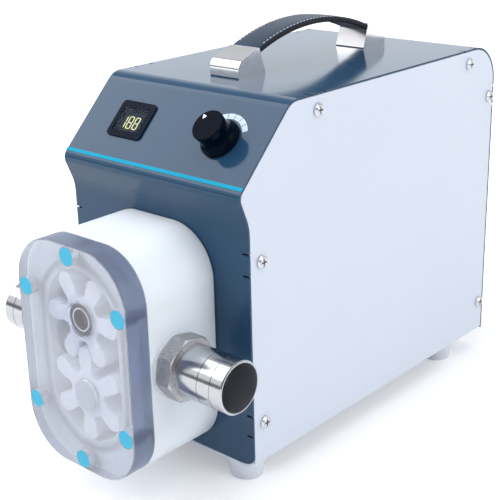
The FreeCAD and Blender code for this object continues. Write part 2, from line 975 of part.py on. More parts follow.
def knob_outline():
    """Half section of the knob: a low skirt, a hollow flare up to the neck and a flat top."""
    drop = knob_neck_height - knob_skirt_height
    spread = knob_skirt_radius - knob_neck_radius
    flare = (spread * spread + drop * drop) / (2 * spread)
    half = math.asin(drop / flare) / 2
    rim = V(knob_skirt_radius, 0, knob_skirt_height)
    neck = V(knob_neck_radius, 0, knob_neck_height)
    hollow = V(knob_neck_radius + flare * (1 - math.cos(half)), 0, knob_neck_height - flare * math.sin(half))
    line = Part.makePolygon([neck, V(knob_top_radius, 0, knob_height), V(0, 0, knob_height),
                             V(0, 0, knob_gap), V(knob_skirt_radius, 0, knob_gap), rim])
    return Part.Wire([Part.Arc(rim, hollow, neck).toShape(), *line.Edges])


def speed_knob():
    body = Part.Face(knob_outline()).revolve(V(0, 0, 0), V(0, 0, 1), 360)
    body = body.makeFillet(knob_edge, top_rim(body, knob_height))
    body = body.makeFillet(knob_foot_edge, top_rim(body, knob_skirt_height))
    bore = rod_z(pot_shaft_radius + snug, 0, knob_height - knob_roof, 0, 0)
    nut_room = rod_z(knob_nut_room, 0, nut_thickness + knob_nut_headroom, 0, 0)
    return on_slope(at_knob(cut_all(body, [bore, nut_room, pointer_shape()])))


def knob_pointer():
    return on_slope(at_knob(pointer_shape()))


def dial_scale():
    """Printed ring of short arcs around the knob."""
    step = dial_sweep / dial_count
    start = dial_start + dial_arc_gap / 2
    marks = []
    for i in range(dial_count):
        arc = Part.makeCylinder(dial_outer_radius, dial_thickness, V(0, 0, 0), V(0, 0, 1), step - dial_arc_gap)
        arc = arc.cut(rod_z(dial_inner_radius, -past, past, 0, 0))
        marks.append(carried(arc, V(knob_x, up_slope(knob_v), 0),
                             FreeCAD.Rotation(V(0, 0, 1), start + i * step)))
    return on_slope(Part.makeCompound(marks))


def potentiometer():
    low = -sheet - pot_body_depth
    thread_top = nut_thickness + pot_thread_over
    body = rod_z(pot_body_radius, low, -sheet, 0, 0)
    thread = rod_z(pot_thread_radius, -sheet, thread_top, 0, 0)
    foot = low + pot_terminal_rise
    terminals = [box(x - pot_terminal_half, x + pot_terminal_half, -pot_body_radius - pot_terminal_reach,
                     pot_terminal_root - pot_body_radius, foot, foot + pot_terminal_thickness)
                 for x in (-pot_terminal_x, 0, pot_terminal_x)]
    bore = rod_z(pot_shaft_radius + running, -sheet - pot_shaft_depth - running, thread_top + past, 0, 0)
    pot = fused([body, thread, *terminals]).cut(bore)
    pot.translate(V(knob_x, up_slope(knob_v), 0))
    return on_slope(pot)


def potentiometer_shaft():
    return on_slope(rod_z(pot_shaft_radius, -sheet - pot_shaft_depth, knob_height - knob_roof,
                          knob_x, up_slope(knob_v)))


def potentiometer_nut():
    nut = hexagon(nut_across_flats, 0, nut_thickness)
    nut = nut.cut(rod_z(pot_thread_radius + snug, -past, nut_thickness + past, 0, 0))
    nut.translate(V(knob_x, up_slope(knob_v), 0))
    return on_slope(nut)


# Carrying handle

def handle_middle():
    return (handle_start + handle_end) / 2


def handle_cap(end):
    x0 = -handle_half_width
    profile = [V(x0, handle_start, top), V(x0, handle_start, top + cap_front_height),
               V(x0, handle_start + cap_top_length, top + cap_back_height),
               V(x0, handle_start + cap_foot_length, top)]
    cap = rounded_prism(profile, [cap_foot_edge, cap_nose_radius, cap_lip_radius, cap_back_edge],
                        V(2 * handle_half_width, 0, 0))
    if end > 0:
        cap = cap.mirror(V(0, handle_middle(), 0), V(0, 1, 0))
    slot = strap_layer(strap_half_width + strap_play, -strap_play, strap_thickness + strap_play,
                       strap_bury + strap_play)
    holes = [rod_z(screw_radius, top - past, top + handle_screw_grip + past, x, y)
             for x, y in handle_screw_places()]
    return cut_all(cap, [slot, *holes])


def handle_screw_places():
    return [(x, y) for x in (-handle_screw_x, handle_screw_x)
            for y in (handle_start + handle_screw_inset, handle_end - handle_screw_inset)]


def handle_screws():
    return screws_at(pan_screw(sheet + handle_screw_grip, recess=False),
                     [(x, y, top - sheet) for x, y in handle_screw_places()], V(0, 0, -1))


def strap_layer(half, depth0, depth1, bury):
    """Arched band between two depths under the strap's outer face, its ends let into the caps."""
    span = (handle_end - handle_start) / 2 - cap_top_length
    middle = handle_middle()
    radius = (span * span + strap_rise * strap_rise) / (2 * strap_rise)
    centre = top + cap_back_height - strap_drop + strap_rise - radius
    reach = math.asin(span / radius) + bury / radius

    def point(depth, angle):
        r = radius - depth
        return V(-half, middle + r * math.sin(angle), centre + r * math.cos(angle))

    edges = [Part.Arc(point(depth0, -reach), point(depth0, 0), point(depth0, reach)).toShape(),
             Part.makeLine(point(depth0, reach), point(depth1, reach)),
             Part.Arc(point(depth1, reach), point(depth1, 0), point(depth1, -reach)).toShape(),
             Part.makeLine(point(depth1, -reach), point(depth0, -reach))]
    return Part.Face(Part.Wire(edges)).extrude(V(2 * half, 0, 0))


def core_layer(play):
    depth = (strap_thickness - core_thickness) / 2
    return strap_layer(core_half_width + play, depth - play, depth + core_thickness + play, strap_bury)


def handle_strap():
    return strap_layer(strap_half_width, 0, strap_thickness, strap_bury).cut(core_layer(snug))


def handle_core():
    return core_layer(0)


# Pump head

def head_block(y0, y1):
    return rounded_block_y(head_half_width, head_half_height, head_corner, y0, y1, 0, head_z)


def face_rim(shape, y):
    """Edges of a shape that lie on one upright plane across the pump's axis."""
    return [e for e in shape.Edges if e.BoundBox.YLength < snug and abs(e.BoundBox.YMin - y) < snug]


def cover_screw_places():
    ends = [(0, head_z + sz * cover_screw_end_z) for sz in (-1, 1)]
    sides = [(sx * cover_screw_x, head_z + sz * cover_screw_z) for sx in (-1, 1) for sz in (-1, 1)]
    return ends + sides


def racetrack(radius, y0, y1):
    ends = [rod_y(radius, y0, y1, 0, z) for z in (drive_z, idler_z)]
    return fused([*ends, box(-radius, radius, y0, y1, idler_z, drive_z)])


def pump_ports():
    """Way in for the liquid, in which the shank of the hose tail sits, on the right side."""
    return [rod_x(shank_radius + snug, 0, head_half_width + past, port_y, port_z)]


def pump_housing():
    y0 = cover_back - past
    body = head_block(cover_back, front)
    body = body.makeChamfer(head_edge, face_rim(body, front))
    cavity = racetrack(cavity_radius, y0, cavity_back)
    ports = pump_ports()
    threads = [rod_y(cover_screw_radius, y0, cover_back + cover_thread_depth, x, z)
               for x, z in cover_screw_places()]
    mounts = [rod_y(cover_screw_radius, front - mount_thread_depth, front + past, x, z)
              for x, z in mount_places()]
    groove = racetrack(cavity_radius + seal_offset + seal_width + seal_clearance, y0, cover_back + seal_depth)
    groove = groove.cut(racetrack(cavity_radius + seal_offset - seal_clearance, y0 - past,
                                  cover_back + seal_depth + past))
    shaft_line = [rod_y(shaft_radius + shaft_room, cavity_back - past, front + past, 0, drive_z),
                  rod_y(seal_ring_radius, cavity_back, cavity_back + seal_ring_length, 0, drive_z),
                  rod_y(bearing_radius, front - bearing_length, front + past, 0, drive_z),
                  rod_y(pin_radius + snug, cavity_back - past, cavity_back + pin_seat_depth, 0, idler_z)]
    return cut_all(body, [cavity, *ports, *[flipped(port) for port in ports], *threads, *mounts,
                          groove, *shaft_line])


def pump_cover():
    cover = head_block(cover_front, cover_back)
    cover = cover.makeChamfer(cover_edge, face_rim(cover, cover_front))
    bores = [rod_y(cover_screw_radius + cover_screw_play, cover_front - past, cover_back + past, x, z)
             for x, z in cover_screw_places()]
    seats = [rod_y(counterbore_radius, cover_front - past, cover_front + counterbore_depth, x, z)
             for x, z in cover_screw_places()]
    bolt = rod_y(bolt_head_radius + shaft_room, cover_back - bolt_reach - bolt_room, cover_back + past,
                 0, drive_z)
    pin = rod_y(pin_head_radius + snug, cover_back - pin_head_length, cover_back + past, 0, idler_z)
    return cut_all(cover, [*bores, *seats, bolt, pin])


def cover_seal():
    end = cover_back + seal_depth
    outer = racetrack(cavity_radius + seal_offset + seal_width, cover_back, end)
    return outer.cut(racetrack(cavity_radius + seal_offset, cover_back - past, end + past))


def cover_screws():
    return screws_at(socket_screw(cover_head_radius, cover_head_height, cover_screw_radius,
                                  cover_screw_length),
                     [(x, cover_front + counterbore_depth, z) for x, z in cover_screw_places()], V(0, -1, 0))


def screw_caps():
    return Part.makeCompound([rod_y(cap_radius, cover_front, cover_front + cap_thickness, x, z)
                              for x, z in cover_screw_places()])


def lobe_wire(y):
    """Rotor outline: round lobes, and valleys with a rounder, deeper root for the liquid."""
    lobe_half = 2 * math.asin(lobe_radius / (2 * pitch_radius))
    valley_half = math.pi / lobe_count - lobe_half
    valley_radius = 2 * pitch_radius * math.sin(valley_half / 2)
    root_centre = valley_root + valley_round
    meet = (pitch_radius ** 2 - root_centre ** 2 - valley_radius ** 2 + valley_round ** 2) / (
        2 * (pitch_radius - root_centre))
    meet_half = math.sqrt(valley_round ** 2 - (meet - root_centre) ** 2)
    first = math.atan2(pitch_radius * math.sin(valley_half), pitch_radius * (math.cos(valley_half) - 1))
    last = math.atan2(meet_half, meet - pitch_radius)
    flank = (first + last) / 2

    def point(out, across, angle):
        return V(out * math.cos(angle) - across * math.sin(angle), y,
                 out * math.sin(angle) + across * math.cos(angle))

    edges = []
    for i in range(lobe_count):
        lobe = 2 * math.pi * i / lobe_count
        valley = lobe + math.pi / lobe_count
        edges.append(Part.Arc(point(pitch_radius, 0, lobe - lobe_half), point(tip_radius, 0, lobe),
                              point(pitch_radius, 0, lobe + lobe_half)).toShape())
        for side in (-1, 1):
            edges.append(Part.Arc(point(pitch_radius, 0, valley + side * valley_half),
                                  point(pitch_radius + valley_radius * math.cos(flank),
                                        side * valley_radius * math.sin(flank), valley),
                                  point(meet, side * meet_half, valley)).toShape())
        edges.append(Part.Arc(point(meet, -meet_half, valley), point(valley_root, 0, valley),
                              point(meet, meet_half, valley)).toShape())
    return Part.Wire(Part.__sortEdges__(edges))


def rotor_blank(turn, z):
    y0 = cover_back + face_clearance
    y1 = cavity_back - face_clearance
    blank = Part.Face(lobe_wire(y0)).extrude(V(0, y1 - y0, 0))
    flanks = [e for e in blank.Edges if e.BoundBox.YLength > (y1 - y0) / 2]
    blank = blank.makeFillet(lobe_blend, flanks)
    blank = blank.makeChamfer(lobe_edge, face_rim(blank, y0) + face_rim(blank, y1))
    return carried(blank, V(0, 0, z), FreeCAD.Rotation(V(0, 1, 0), turn))


def drive_rotor():
    seat = rod_y(bolt_head_radius + bolt_seat_play, cover_back - past, cover_back + bolt_seat_depth, 0, drive_z)
    bore = rod_y(shaft_radius + snug, cover_back, cavity_back + past, 0, drive_z)
    return cut_all(rotor_blank(0.0, drive_z), [seat, bore])


def idler_rotor():
    half_pitch = 180.0 / lobe_count
    bore = rod_y(pin_radius + running, cover_back - past, cavity_back + past, 0, idler_z)
    return rotor_blank(half_pitch, idler_z).cut(bore)


def drive_shaft():
    start = cover_back + bolt_seat_depth
    step = front + shaft_step
    end = coupling_middle - shaft_break / 2
    shaft = fused([rod_y(shaft_radius, start, step, 0, drive_z), rod_y(spigot_radius, step, end, 0, drive_z)])
    return shaft.cut(rod_y(bolt_thread_radius + snug, start - past,
                           start + bolt_thread_length + bolt_thread_spare, 0, drive_z))


def rotor_bolt():
    seat = cover_back + bolt_seat_depth
    face = cover_back - bolt_reach
    head = rod_y(bolt_head_radius, face, seat, 0, drive_z)
    head = head.makeChamfer(bolt_edge, face_rim(head, face))
    head = head.cut(rod_y(bolt_recess_radius, face - past, face + bolt_recess_depth, 0, drive_z))
    return fused([head, rod_y(bolt_thread_radius, seat, seat + bolt_thread_length, 0, drive_z)])


def idler_pin():
    return fused([rod_y(pin_radius, cover_back, cavity_back + pin_seat_depth, 0, idler_z),
                  rod_y(pin_head_radius, cover_back - pin_head_length, cover_back, 0, idler_z)])


def shaft_seal():
    end = cavity_back + seal_ring_length
    ring = rod_y(seal_ring_radius, cavity_back, end, 0, drive_z)
    return ring.cut(rod_y(shaft_radius + running, cavity_back - past, end + past, 0, drive_z))


def shaft_bearing():
    start = front - bearing_length
    ring = rod_y(bearing_radius, start, front, 0, drive_z)
    groove = rod_y(bearing_radius - bearing_rim, start - past, start + bearing_groove, 0, drive_z)
    groove = groove.cut(rod_y(shaft_radius + bearing_rim, start - 2 * past, start + 2 * past, 0, drive_z))
    return cut_all(ring, [rod_y(shaft_radius + running, start - past, front + past, 0, drive_z), groove])


def tail_octagon():
    """Cast octagon of the hose tail, bevelled at both ends, standing on the origin."""
    corner = wrench_across_flats / 2 / math.cos(math.pi / wrench_sides)
    low = corner - wrench_bevel
    high = corner + wrench_bevel
    envelope = fused([Part.makeCone(low, high, wrench_bevel),
                      rod_z(high, wrench_bevel, wrench_length - wrench_bevel, 0, 0),
                      Part.makeCone(high, low, wrench_bevel, V(0, 0, wrench_length - wrench_bevel))])
    octagon = many_sided(wrench_sides, wrench_across_flats, 0, wrench_length, wrench_turn, wrench_corner)
    return octagon.common(envelope)


def hose_tail(side):
    shank = rod_x(shank_radius, head_half_width - shank_length, wrench_start, 0, 0)
    nut = placed(tail_octagon(), V(wrench_start, 0, 0), V(1, 0, 0))
    tail = rod_x(tail_radius, wrench_start + wrench_length / 2, tail_end, 0, 0)
    tail = tail.makeChamfer(tail_edge, [e for e in tail.Edges if e.BoundBox.XMin > tail_end - snug])
    cuts = [rod_x(tail_bore_radius, wrench_start + tail_bore_inset, tail_end + past, 0, 0),
            rod_x(shank_bore_radius, 0, tail_end, 0, 0)]
    for i in (0, 1):
        x = tail_end - groove_first - i * groove_pitch
        ring = rod_x(tail_radius + past, x - groove_width / 2, x + groove_width / 2, 0, 0)
        cuts.append(ring.cut(rod_x(tail_radius - groove_depth, 0, tail_end, 0, 0)))
    fitting = cut_all(fused([shank, nut, tail]), cuts)
    fitting.translate(V(0, port_y, port_z))
    return fitting if side > 0 else flipped(fitting)


def port_washers():
    ring = rod_x(washer_radius, head_half_width, wrench_start, port_y, port_z)
    ring = ring.cut(rod_x(shank_radius + washer_play, head_half_width - past, wrench_start + past,
                          port_y, port_z))
    return Part.makeCompound([ring, flipped(ring)])


# Drive inside the case

def mount_plate():
    y0 = front + sheet
    y1 = y0 + mount_plate_thickness
    half_z = mount_z + mount_plate_margin
    plate = box(-mount_x - mount_plate_margin, mount_x + mount_plate_margin, y0, y1,
                head_z - half_z, head_z + half_z)
    holes = [rod_y(cover_screw_radius + cover_screw_play, y0 - past, y1 + past, x, z)
             for x, z in mount_places()]
    holes.append(rod_y(shaft_radius + bearing_rim, y0 - past, y1 + past, 0, drive_z))
    return cut_all(plate, holes)


def pump_mount_screws():
    y = front + sheet + mount_plate_thickness
    screw = socket_screw(cover_head_radius, mount_head_height, cover_screw_radius, mount_screw_length)
    return screws_at(screw, [(x, y, z) for x, z in mount_places()], V(0, 1, 0))


def motor_bracket():
    foot_y = front + bracket_foot_start
    foot = box(-bracket_half, bracket_half, foot_y, gearbox_y, base_top, base_top + bracket_thickness)
    wall = box(-bracket_half, bracket_half, bracket_y, gearbox_y, base_top,
               drive_z + gearbox_radius + bracket_rise)
    gussets = []
    for x0 in (-bracket_half, bracket_half - gusset_thickness):
        points = [V(x0, foot_y + gusset_inset, base_top + gusset_root),
                  V(x0, gearbox_y - gusset_root, base_top + gusset_root),
                  V(x0, gearbox_y - gusset_root, drive_z - gusset_drop)]
        gussets.append(prism(points, V(gusset_thickness, 0, 0)))
    cuts = [rod_y(coupling_radius + bearing_rim, bracket_y - past, gearbox_y + past, 0, drive_z)]
    cuts += [rod_y(gearbox_screw_radius + gearbox_screw_play, bracket_y - past, gearbox_y + past, x, z)
             for x, z in gearbox_screw_places()]
    cuts += [rod_z(screw_radius, base_top - past, base_top + bracket_thickness + past, x, y)
             for x, y in bracket_screw_places()]
    return cut_all(fused([foot, wall, *gussets]), cuts)


def gearbox_screw_places():
    reach = gearbox_screw_circle / math.sqrt(2)
    return [(sx * reach, drive_z + sz * reach) for sx in (-1, 1) for sz in (-1, 1)]


def gearbox_screws():
    screw = fused([Part.makeCylinder(gearbox_head_radius, gearbox_head_height),
                   Part.makeCylinder(gearbox_screw_radius, gearbox_screw_length,
                                     V(0, 0, -gearbox_screw_length))])
    return screws_at(screw, [(x, bracket_y, z) for x, z in gearbox_screw_places()], V(0, -1, 0))


def gearmotor():
    """Closed gearbox and motor; only the output shaft turns."""
    gear_end = gearbox_y + gearbox_length
    motor_end = gear_end + motor_length
    cap_end = motor_end + motor_cap_length
    terminal = box(-terminal_half, terminal_half, motor_end - terminal_inset - terminal_length,
                   motor_end - terminal_inset, drive_z + motor_radius - terminal_root,
                   drive_z + motor_radius + terminal_rise)
    body = fused([rod_y(gearbox_radius, gearbox_y, gear_end, 0, drive_z),
                  rod_y(motor_radius, gear_end, motor_end, 0, drive_z),
                  rod_y(motor_cap_radius, motor_end, cap_end, 0, drive_z), terminal])
    circle = motor_cap_radius - vent_inset
    turns = [2 * math.pi * i / vent_count for i in range(vent_count)]
    cuts = [rod_y(vent_radius, cap_end - vent_depth, cap_end + past, circle * math.cos(turn),
                  drive_z + circle * math.sin(turn)) for turn in turns]
    screw_end = bracket_y + gearbox_screw_length
    cuts += [rod_y(gearbox_screw_radius, gearbox_y - past, screw_end + past, x, z)
             for x, z in gearbox_screw_places()]
    cuts.append(rod_y(spigot_radius + running, gearbox_y - past, gearbox_y + gearbox_shaft_depth + past,
                      0, drive_z))
    return cut_all(body, cuts)


def output_shaft():
    return rod_y(spigot_radius, coupling_middle + shaft_break / 2, gearbox_y + gearbox_shaft_depth, 0, drive_z)


def shaft_coupling():
    y0 = front + coupling_start
    y1 = front + coupling_end
    body = rod_y(coupling_radius, y0, y1, 0, drive_z)
    cuts = [rod_y(spigot_radius + snug, y0 - past, y1 + past, 0, drive_z),
            box(-clamp_slot / 2, clamp_slot / 2, y0 - past, y1 + past, drive_z,
                drive_z + coupling_radius + past)]
    z = drive_z + clamp_offset
    for y in (y0 + clamp_inset, y1 - clamp_inset):
        cuts.append(rod_x(clamp_hole_radius, -coupling_radius, coupling_radius, y, z))
        cuts.append(box(clamp_pocket_start, coupling_radius + past, y - clamp_pocket_half,
                        y + clamp_pocket_half, z - clamp_pocket_half, z + clamp_offset))
    return cut_all(body, cuts)


def power_supply():
    high = base_top + supply_height
    step = base_top + supply_step_height
    can = box(-supply_half, supply_half, supply_y, supply_end, base_top, high)
    can = can.cut(box(-supply_half - past, supply_half + past, supply_y - past,
                      supply_y + supply_step_length, step, high + past))
    y0 = supply_y + supply_terminal_inset
    y1 = supply_y + supply_step_length - supply_terminal_inset
    first = -(supply_terminal_count - 1) * supply_terminal_pitch / 2
    middles = [first + i * supply_terminal_pitch for i in range(supply_terminal_count)]
    terminals = [box(x - supply_terminal_half, x + supply_terminal_half, y0, y1, step,
                     step + supply_terminal_height) for x in middles]
    cuts = []
    for i in range(supply_slot_rows):
        y = supply_y + supply_slot_first + i * supply_slot_pitch
        cuts += [box(x - supply_slot_half, x + supply_slot_half, y, y + supply_slot_width,
                     high - supply_slot_depth, high + past)
                 for x in (-supply_slot_x, supply_slot_x)]
    cuts += [rod_z(screw_radius, base_top - past, base_top + supply_screw_depth, x, y)
             for x, y in supply_screw_places()]
    return cut_all(fused([can, *terminals]), cuts)


def board_places():
    x = board_half - board_hole_inset
    return [(sx * x, y) for sx in (-1, 1)
            for y in (board_y + board_hole_inset, board_y + board_length - board_hole_inset)]


def board_standoffs():
    seat = base_top + standoff_height
    posts = []
    for x, y in board_places():
        post = hexagon(standoff_width, base_top, seat)
        post.translate(V(x, y, 0))
        pin = rod_z(standoff_pin_radius, base_top + past, seat + standoff_pin_length, x, y)
        posts.append(fused([post, pin]))
    return Part.makeCompound(posts)


def speed_control_board():
    low = base_top + standoff_height
    surface = low + board_thickness
    plate = box(-board_half, board_half, board_y, board_y + board_length, low, surface)
    sink_y = board_y + sink_start
    chip_y = board_y + chip_start
    plug_y = board_y + plug_start
    blocks = [box(-sink_far, -sink_near, sink_y, sink_y + sink_length, surface, surface + sink_height),
              box(sink_near, sink_far, chip_y, chip_y + chip_length, surface, surface + chip_height),
              box(-plug_half, plug_half, plug_y, plug_y + plug_length, surface, surface + plug_height)]
    cans = [rod_z(capacitor_radius, surface, surface + capacitor_height, x, board_y + capacitor_row)
            for x in (-capacitor_spacing, capacitor_spacing)]
    holes = [rod_z(standoff_pin_radius + snug, low - past, surface + past, x, y) for x, y in board_places()]
    return cut_all(fused([plate, *blocks, *cans]), holes)


# Mains inlet with its fuse drawer and switch

def socket_block():
    """Room for the mains connector, with its two upper corners cut off."""
    y0 = inlet_face - socket_depth
    low = inlet_z - socket_low
    high = inlet_z - socket_high
    points = [V(inlet_x - socket_half, y0, low), V(inlet_x + socket_half, y0, low),
              V(inlet_x + socket_half, y0, high - socket_cut), V(inlet_x + socket_half - socket_cut, y0, high),
              V(inlet_x - socket_half + socket_cut, y0, high), V(inlet_x - socket_half, y0, high - socket_cut)]
    return prism(points, V(0, socket_depth + past, 0))


def drawer_box(play, y1):
    return box(inlet_x - drawer_half_width - play, inlet_x + drawer_half_width + play,
               inlet_face - drawer_depth - play, y1,
               drawer_z - drawer_half_height - play, drawer_z + drawer_half_height + play)


def rocker_way():
    half_x = rocker_half_width + rocker_side_play
    half_z = rocker_half_height + rocker_end_play
    reach = rocker_half_width + rocker_pivot_reach + rocker_side_play
    way = box(inlet_x - half_x, inlet_x + half_x, inlet_face - rocker_room, inlet_face + past,
              rocker_z - half_z, rocker_z + half_z)
    return way.fuse(rod_x(rocker_pivot_radius + running, inlet_x - reach, inlet_x + reach,
                          inlet_face - rocker_pivot_depth, rocker_z))


def power_inlet():
    flange = rounded_block_y(inlet_half_width, inlet_half_height, inlet_corner, rear, inlet_face,
                             inlet_x, inlet_z)
    body = rounded_block_y(inlet_body_half_width, inlet_body_half_height, inlet_body_corner,
                           rear - inlet_body_depth, rear, inlet_x, inlet_z)
    cuts = [socket_block(), drawer_box(drawer_play, inlet_face + past), rocker_way()]
    sunk = inlet_screw_sink + screw_head_height
    for x, z in inlet_screw_places():
        cuts.append(rod_y(screw_radius + screw_play, rear - past, inlet_face + past, x, z))
        cuts.append(rod_y(screw_head_radius + inlet_screw_play, inlet_face - sunk, inlet_face + past, x, z))
    cuts += [pin_blade(x, z) for x, z in blade_places()]
    return cut_all(fused([flange, body]), cuts)


def blade_places():
    middle = inlet_z - blade_drop
    return [(inlet_x - blade_pitch, middle - blade_offset), (inlet_x + blade_pitch, middle - blade_offset),
            (inlet_x, middle + blade_offset)]


def pin_blade(x, z):
    bottom = inlet_face - socket_depth
    return box(x - blade_half_width, x + blade_half_width, bottom - blade_back, bottom + blade_front,
               z - blade_half_height, z + blade_half_height)


def inlet_pins():
    return Part.makeCompound([pin_blade(x, z) for x, z in blade_places()])


def fuse_drawer():
    grip = box(inlet_x - grip_half, inlet_x + grip_half, inlet_face - grip_depth, inlet_face - grip_front,
               drawer_z - drawer_half_height - past, drawer_z - drawer_lip)
    radius = fuse_radius + fuse_bed_over
    half = drawer_half_width - drawer_wall
    y = inlet_face - fuse_depth
    bed = rod_x(radius, inlet_x - half, inlet_x + half, y, drawer_z)
    way_in = box(inlet_x - half, inlet_x + half, y - radius, y + radius, drawer_z,
                 drawer_z + drawer_half_height + past)
    return cut_all(drawer_box(0, inlet_face), [grip, bed, way_in])


def fuse():
    y = inlet_face - fuse_depth
    inner = fuse_half_length - fuse_cap_length
    glass = rod_x(fuse_radius, inlet_x - inner, inlet_x + inner, y, drawer_z)
    cap = rod_x(fuse_radius + fuse_cap_over, inlet_x + inner, inlet_x + fuse_half_length, y, drawer_z)
    return fused([glass, cap, cap.mirror(V(inlet_x, 0, 0), V(1, 0, 0))])


def rocker_switch():
    """Rocker with two faces that fall away to its middle, resting with one end in."""
    x0 = inlet_x - rocker_half_width
    x1 = inlet_x + rocker_half_width
    low = rocker_z - rocker_half_height
    high = rocker_z + rocker_half_height
    ends = inlet_face - rocker_sink
    skirt = inlet_face - rocker_skirt
    points = [V(x0, ends, low), V(x0, ends - rocker_dip, rocker_z), V(x0, ends, high),
              V(x0, skirt, high - rocker_taper), V(x0, inlet_face - rocker_heel, rocker_z),
              V(x0, skirt, low + rocker_taper)]
    pivot_y = inlet_face - rocker_pivot_depth
    pivot = rod_x(rocker_pivot_radius, x0 - rocker_pivot_reach, x1 + rocker_pivot_reach, pivot_y, rocker_z)
    rocker = fused([prism(points, V(x1 - x0, 0, 0)), pivot])
    rocker.rotate(V(inlet_x, pivot_y, rocker_z), V(1, 0, 0), rocker_tilt)
    return rocker


# Fan

def fan_frame():
    half = fan_size / 2
    y1 = rear - sheet
    y0 = y1 - fan_depth
    bore = fan_bore_radius + past
    frame = rounded_block_y(half, half, fan_corner, y0, y1, fan_x, fan_z)
    frame = frame.cut(rod_y(fan_bore_radius, y0 - past, y1 + past, fan_x, fan_z))
    hub = rod_y(fan_hub_radius, y0, y0 + fan_hub_plate, fan_x, fan_z)
    struts = [box(fan_x - bore, fan_x + bore, y0, y0 + fan_strut, fan_z - fan_strut_half,
                  fan_z + fan_strut_half),
              box(fan_x - fan_strut_half, fan_x + fan_strut_half, y0, y0 + fan_strut, fan_z - bore,
                  fan_z + bore)]
    axle = rod_y(fan_axle_radius + running, y0 - past, y0 + fan_hub_plate + past, fan_x, fan_z)
    holes = [rod_y(screw_radius + snug, y1 - fan_screw_depth, y1 + past, x, z) for x, z in fan_screw_places()]
    return cut_all(fused([frame, hub, *struts]), [axle, *holes])


def fan_rotor():
    y0 = rear - sheet - fan_depth + fan_hub_plate + fan_rotor_gap
    y1 = rear - sheet - fan_front_gap
    hub = rod_y(fan_hub_radius, y0, y1, 0, 0)
    axle = rod_y(fan_axle_radius, y0 - fan_axle_length, y0 + past, 0, 0)
    chord = fan_blade_chord / 2
    thick = fan_blade_thickness / 2
    blades = []
    for i in range(fan_blade_count):
        blade = box(fan_hub_radius - fan_blade_root, fan_blade_radius + past, -chord, chord, -thick, thick)
        blade.rotate(V(0, 0, 0), V(1, 0, 0), fan_blade_angle)
        blade.translate(V(0, (y0 + y1) / 2, 0))
        blade.rotate(V(0, 0, 0), V(0, 1, 0), 360.0 * i / fan_blade_count)
        blades.append(blade)
    rotor = fused([hub, axle, *blades])
    rotor = rotor.common(rod_y(fan_blade_radius, y0 - fan_axle_length, y1, 0, 0))
    rotor.translate(V(fan_x, 0, fan_z))
    return rotor


def parts():
    yield "front_top_shell", front_top_shell()
    yield "base_pan", base_pan()
    yield "rear_panel", rear_panel()
    yield "side_panel_right", side_panel(1)
    yield "side_panel_left", side_panel(-1)
    yield "side_screws_right", side_panel_screws(1)
    yield "side_screws_left", side_panel_screws(-1)
    yield "feet", feet()
    yield "foot_screws", foot_screws()
    yield "base_screws", base_screws()
    yield "rear_screws", rear_screws()
    yield "accent_strip", accent_strip()
    yield "display_bezel", display_bezel()
    yield "display_window", display_window()
    yield "display_board", display_board()
    yield "display_digits", display_digits()
    yield "speed_knob", speed_knob()
    yield "knob_pointer", knob_pointer()
    yield "dial_scale", dial_scale()
    yield "potentiometer", potentiometer()
    yield "potentiometer_shaft", potentiometer_shaft()
    yield "potentiometer_nut", potentiometer_nut()
    yield "handle_strap", handle_strap()
    yield "handle_core", handle_core()
    yield "handle_cap_front", handle_cap(-1)
    yield "handle_cap_rear", handle_cap(1)
    yield "handle_screws", handle_screws()
    yield "pump_housing", pump_housing()
    yield "pump_cover", pump_cover()
    yield "cover_seal", cover_seal()
    yield "cover_screws", cover_screws()
    yield "screw_caps", screw_caps()
    yield "drive_rotor", drive_rotor()
    yield "idler_rotor", idler_rotor()
    yield "drive_shaft", drive_shaft()
    yield "rotor_bolt", rotor_bolt()
    yield "idler_pin", idler_pin()
    yield "shaft_seal", shaft_seal()
    yield "shaft_bearing", shaft_bearing()
    yield "hose_tail_right", hose_tail(1)
    yield "hose_tail_left", hose_tail(-1)
    yield "port_washers", port_washers()
    yield "mount_plate", mount_plate()
    yield "pump_mount_screws", pump_mount_screws()
    yield "motor_bracket", motor_bracket()
    yield "gearbox_screws", gearbox_screws()
    yield "gearmotor", gearmotor()
    yield "output_shaft", output_shaft()
    yield "shaft_coupling", shaft_coupling()
    yield "power_supply", power_supply()
    yield "speed_control_board", speed_control_board()
    yield "board_standoffs", board_standoffs()
    yield "power_inlet", power_inlet()
    yield "inlet_pins", inlet_pins()
    yield "fuse_drawer", fuse_drawer()
    yield "fuse", fuse()
    yield "rocker_switch", rocker_switch()
    yield "fan_frame", fan_frame()
    yield "fan_rotor", fan_rotor()


os.makedirs("parts", exist_ok=True)
for name, shape in parts():
    shape.exportStep("parts/" + name + ".step")
    print(name, "solids", len(shape.Solids))
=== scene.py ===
import json
import math
import random

import bmesh
import bpy
from mathutils import Matrix, Vector


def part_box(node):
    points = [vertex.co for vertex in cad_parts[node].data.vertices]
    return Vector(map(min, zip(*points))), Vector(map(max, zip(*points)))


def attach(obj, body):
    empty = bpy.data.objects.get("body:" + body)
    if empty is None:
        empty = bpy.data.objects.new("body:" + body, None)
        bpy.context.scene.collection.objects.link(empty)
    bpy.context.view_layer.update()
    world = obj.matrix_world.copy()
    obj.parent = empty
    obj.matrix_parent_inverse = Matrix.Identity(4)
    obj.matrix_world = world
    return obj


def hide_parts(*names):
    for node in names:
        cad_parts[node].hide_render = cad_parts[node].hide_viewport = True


# Viscous liquid pump: finishes, lit figures, strap, studio and camera. Metres, +Z up, pump head to -Y.

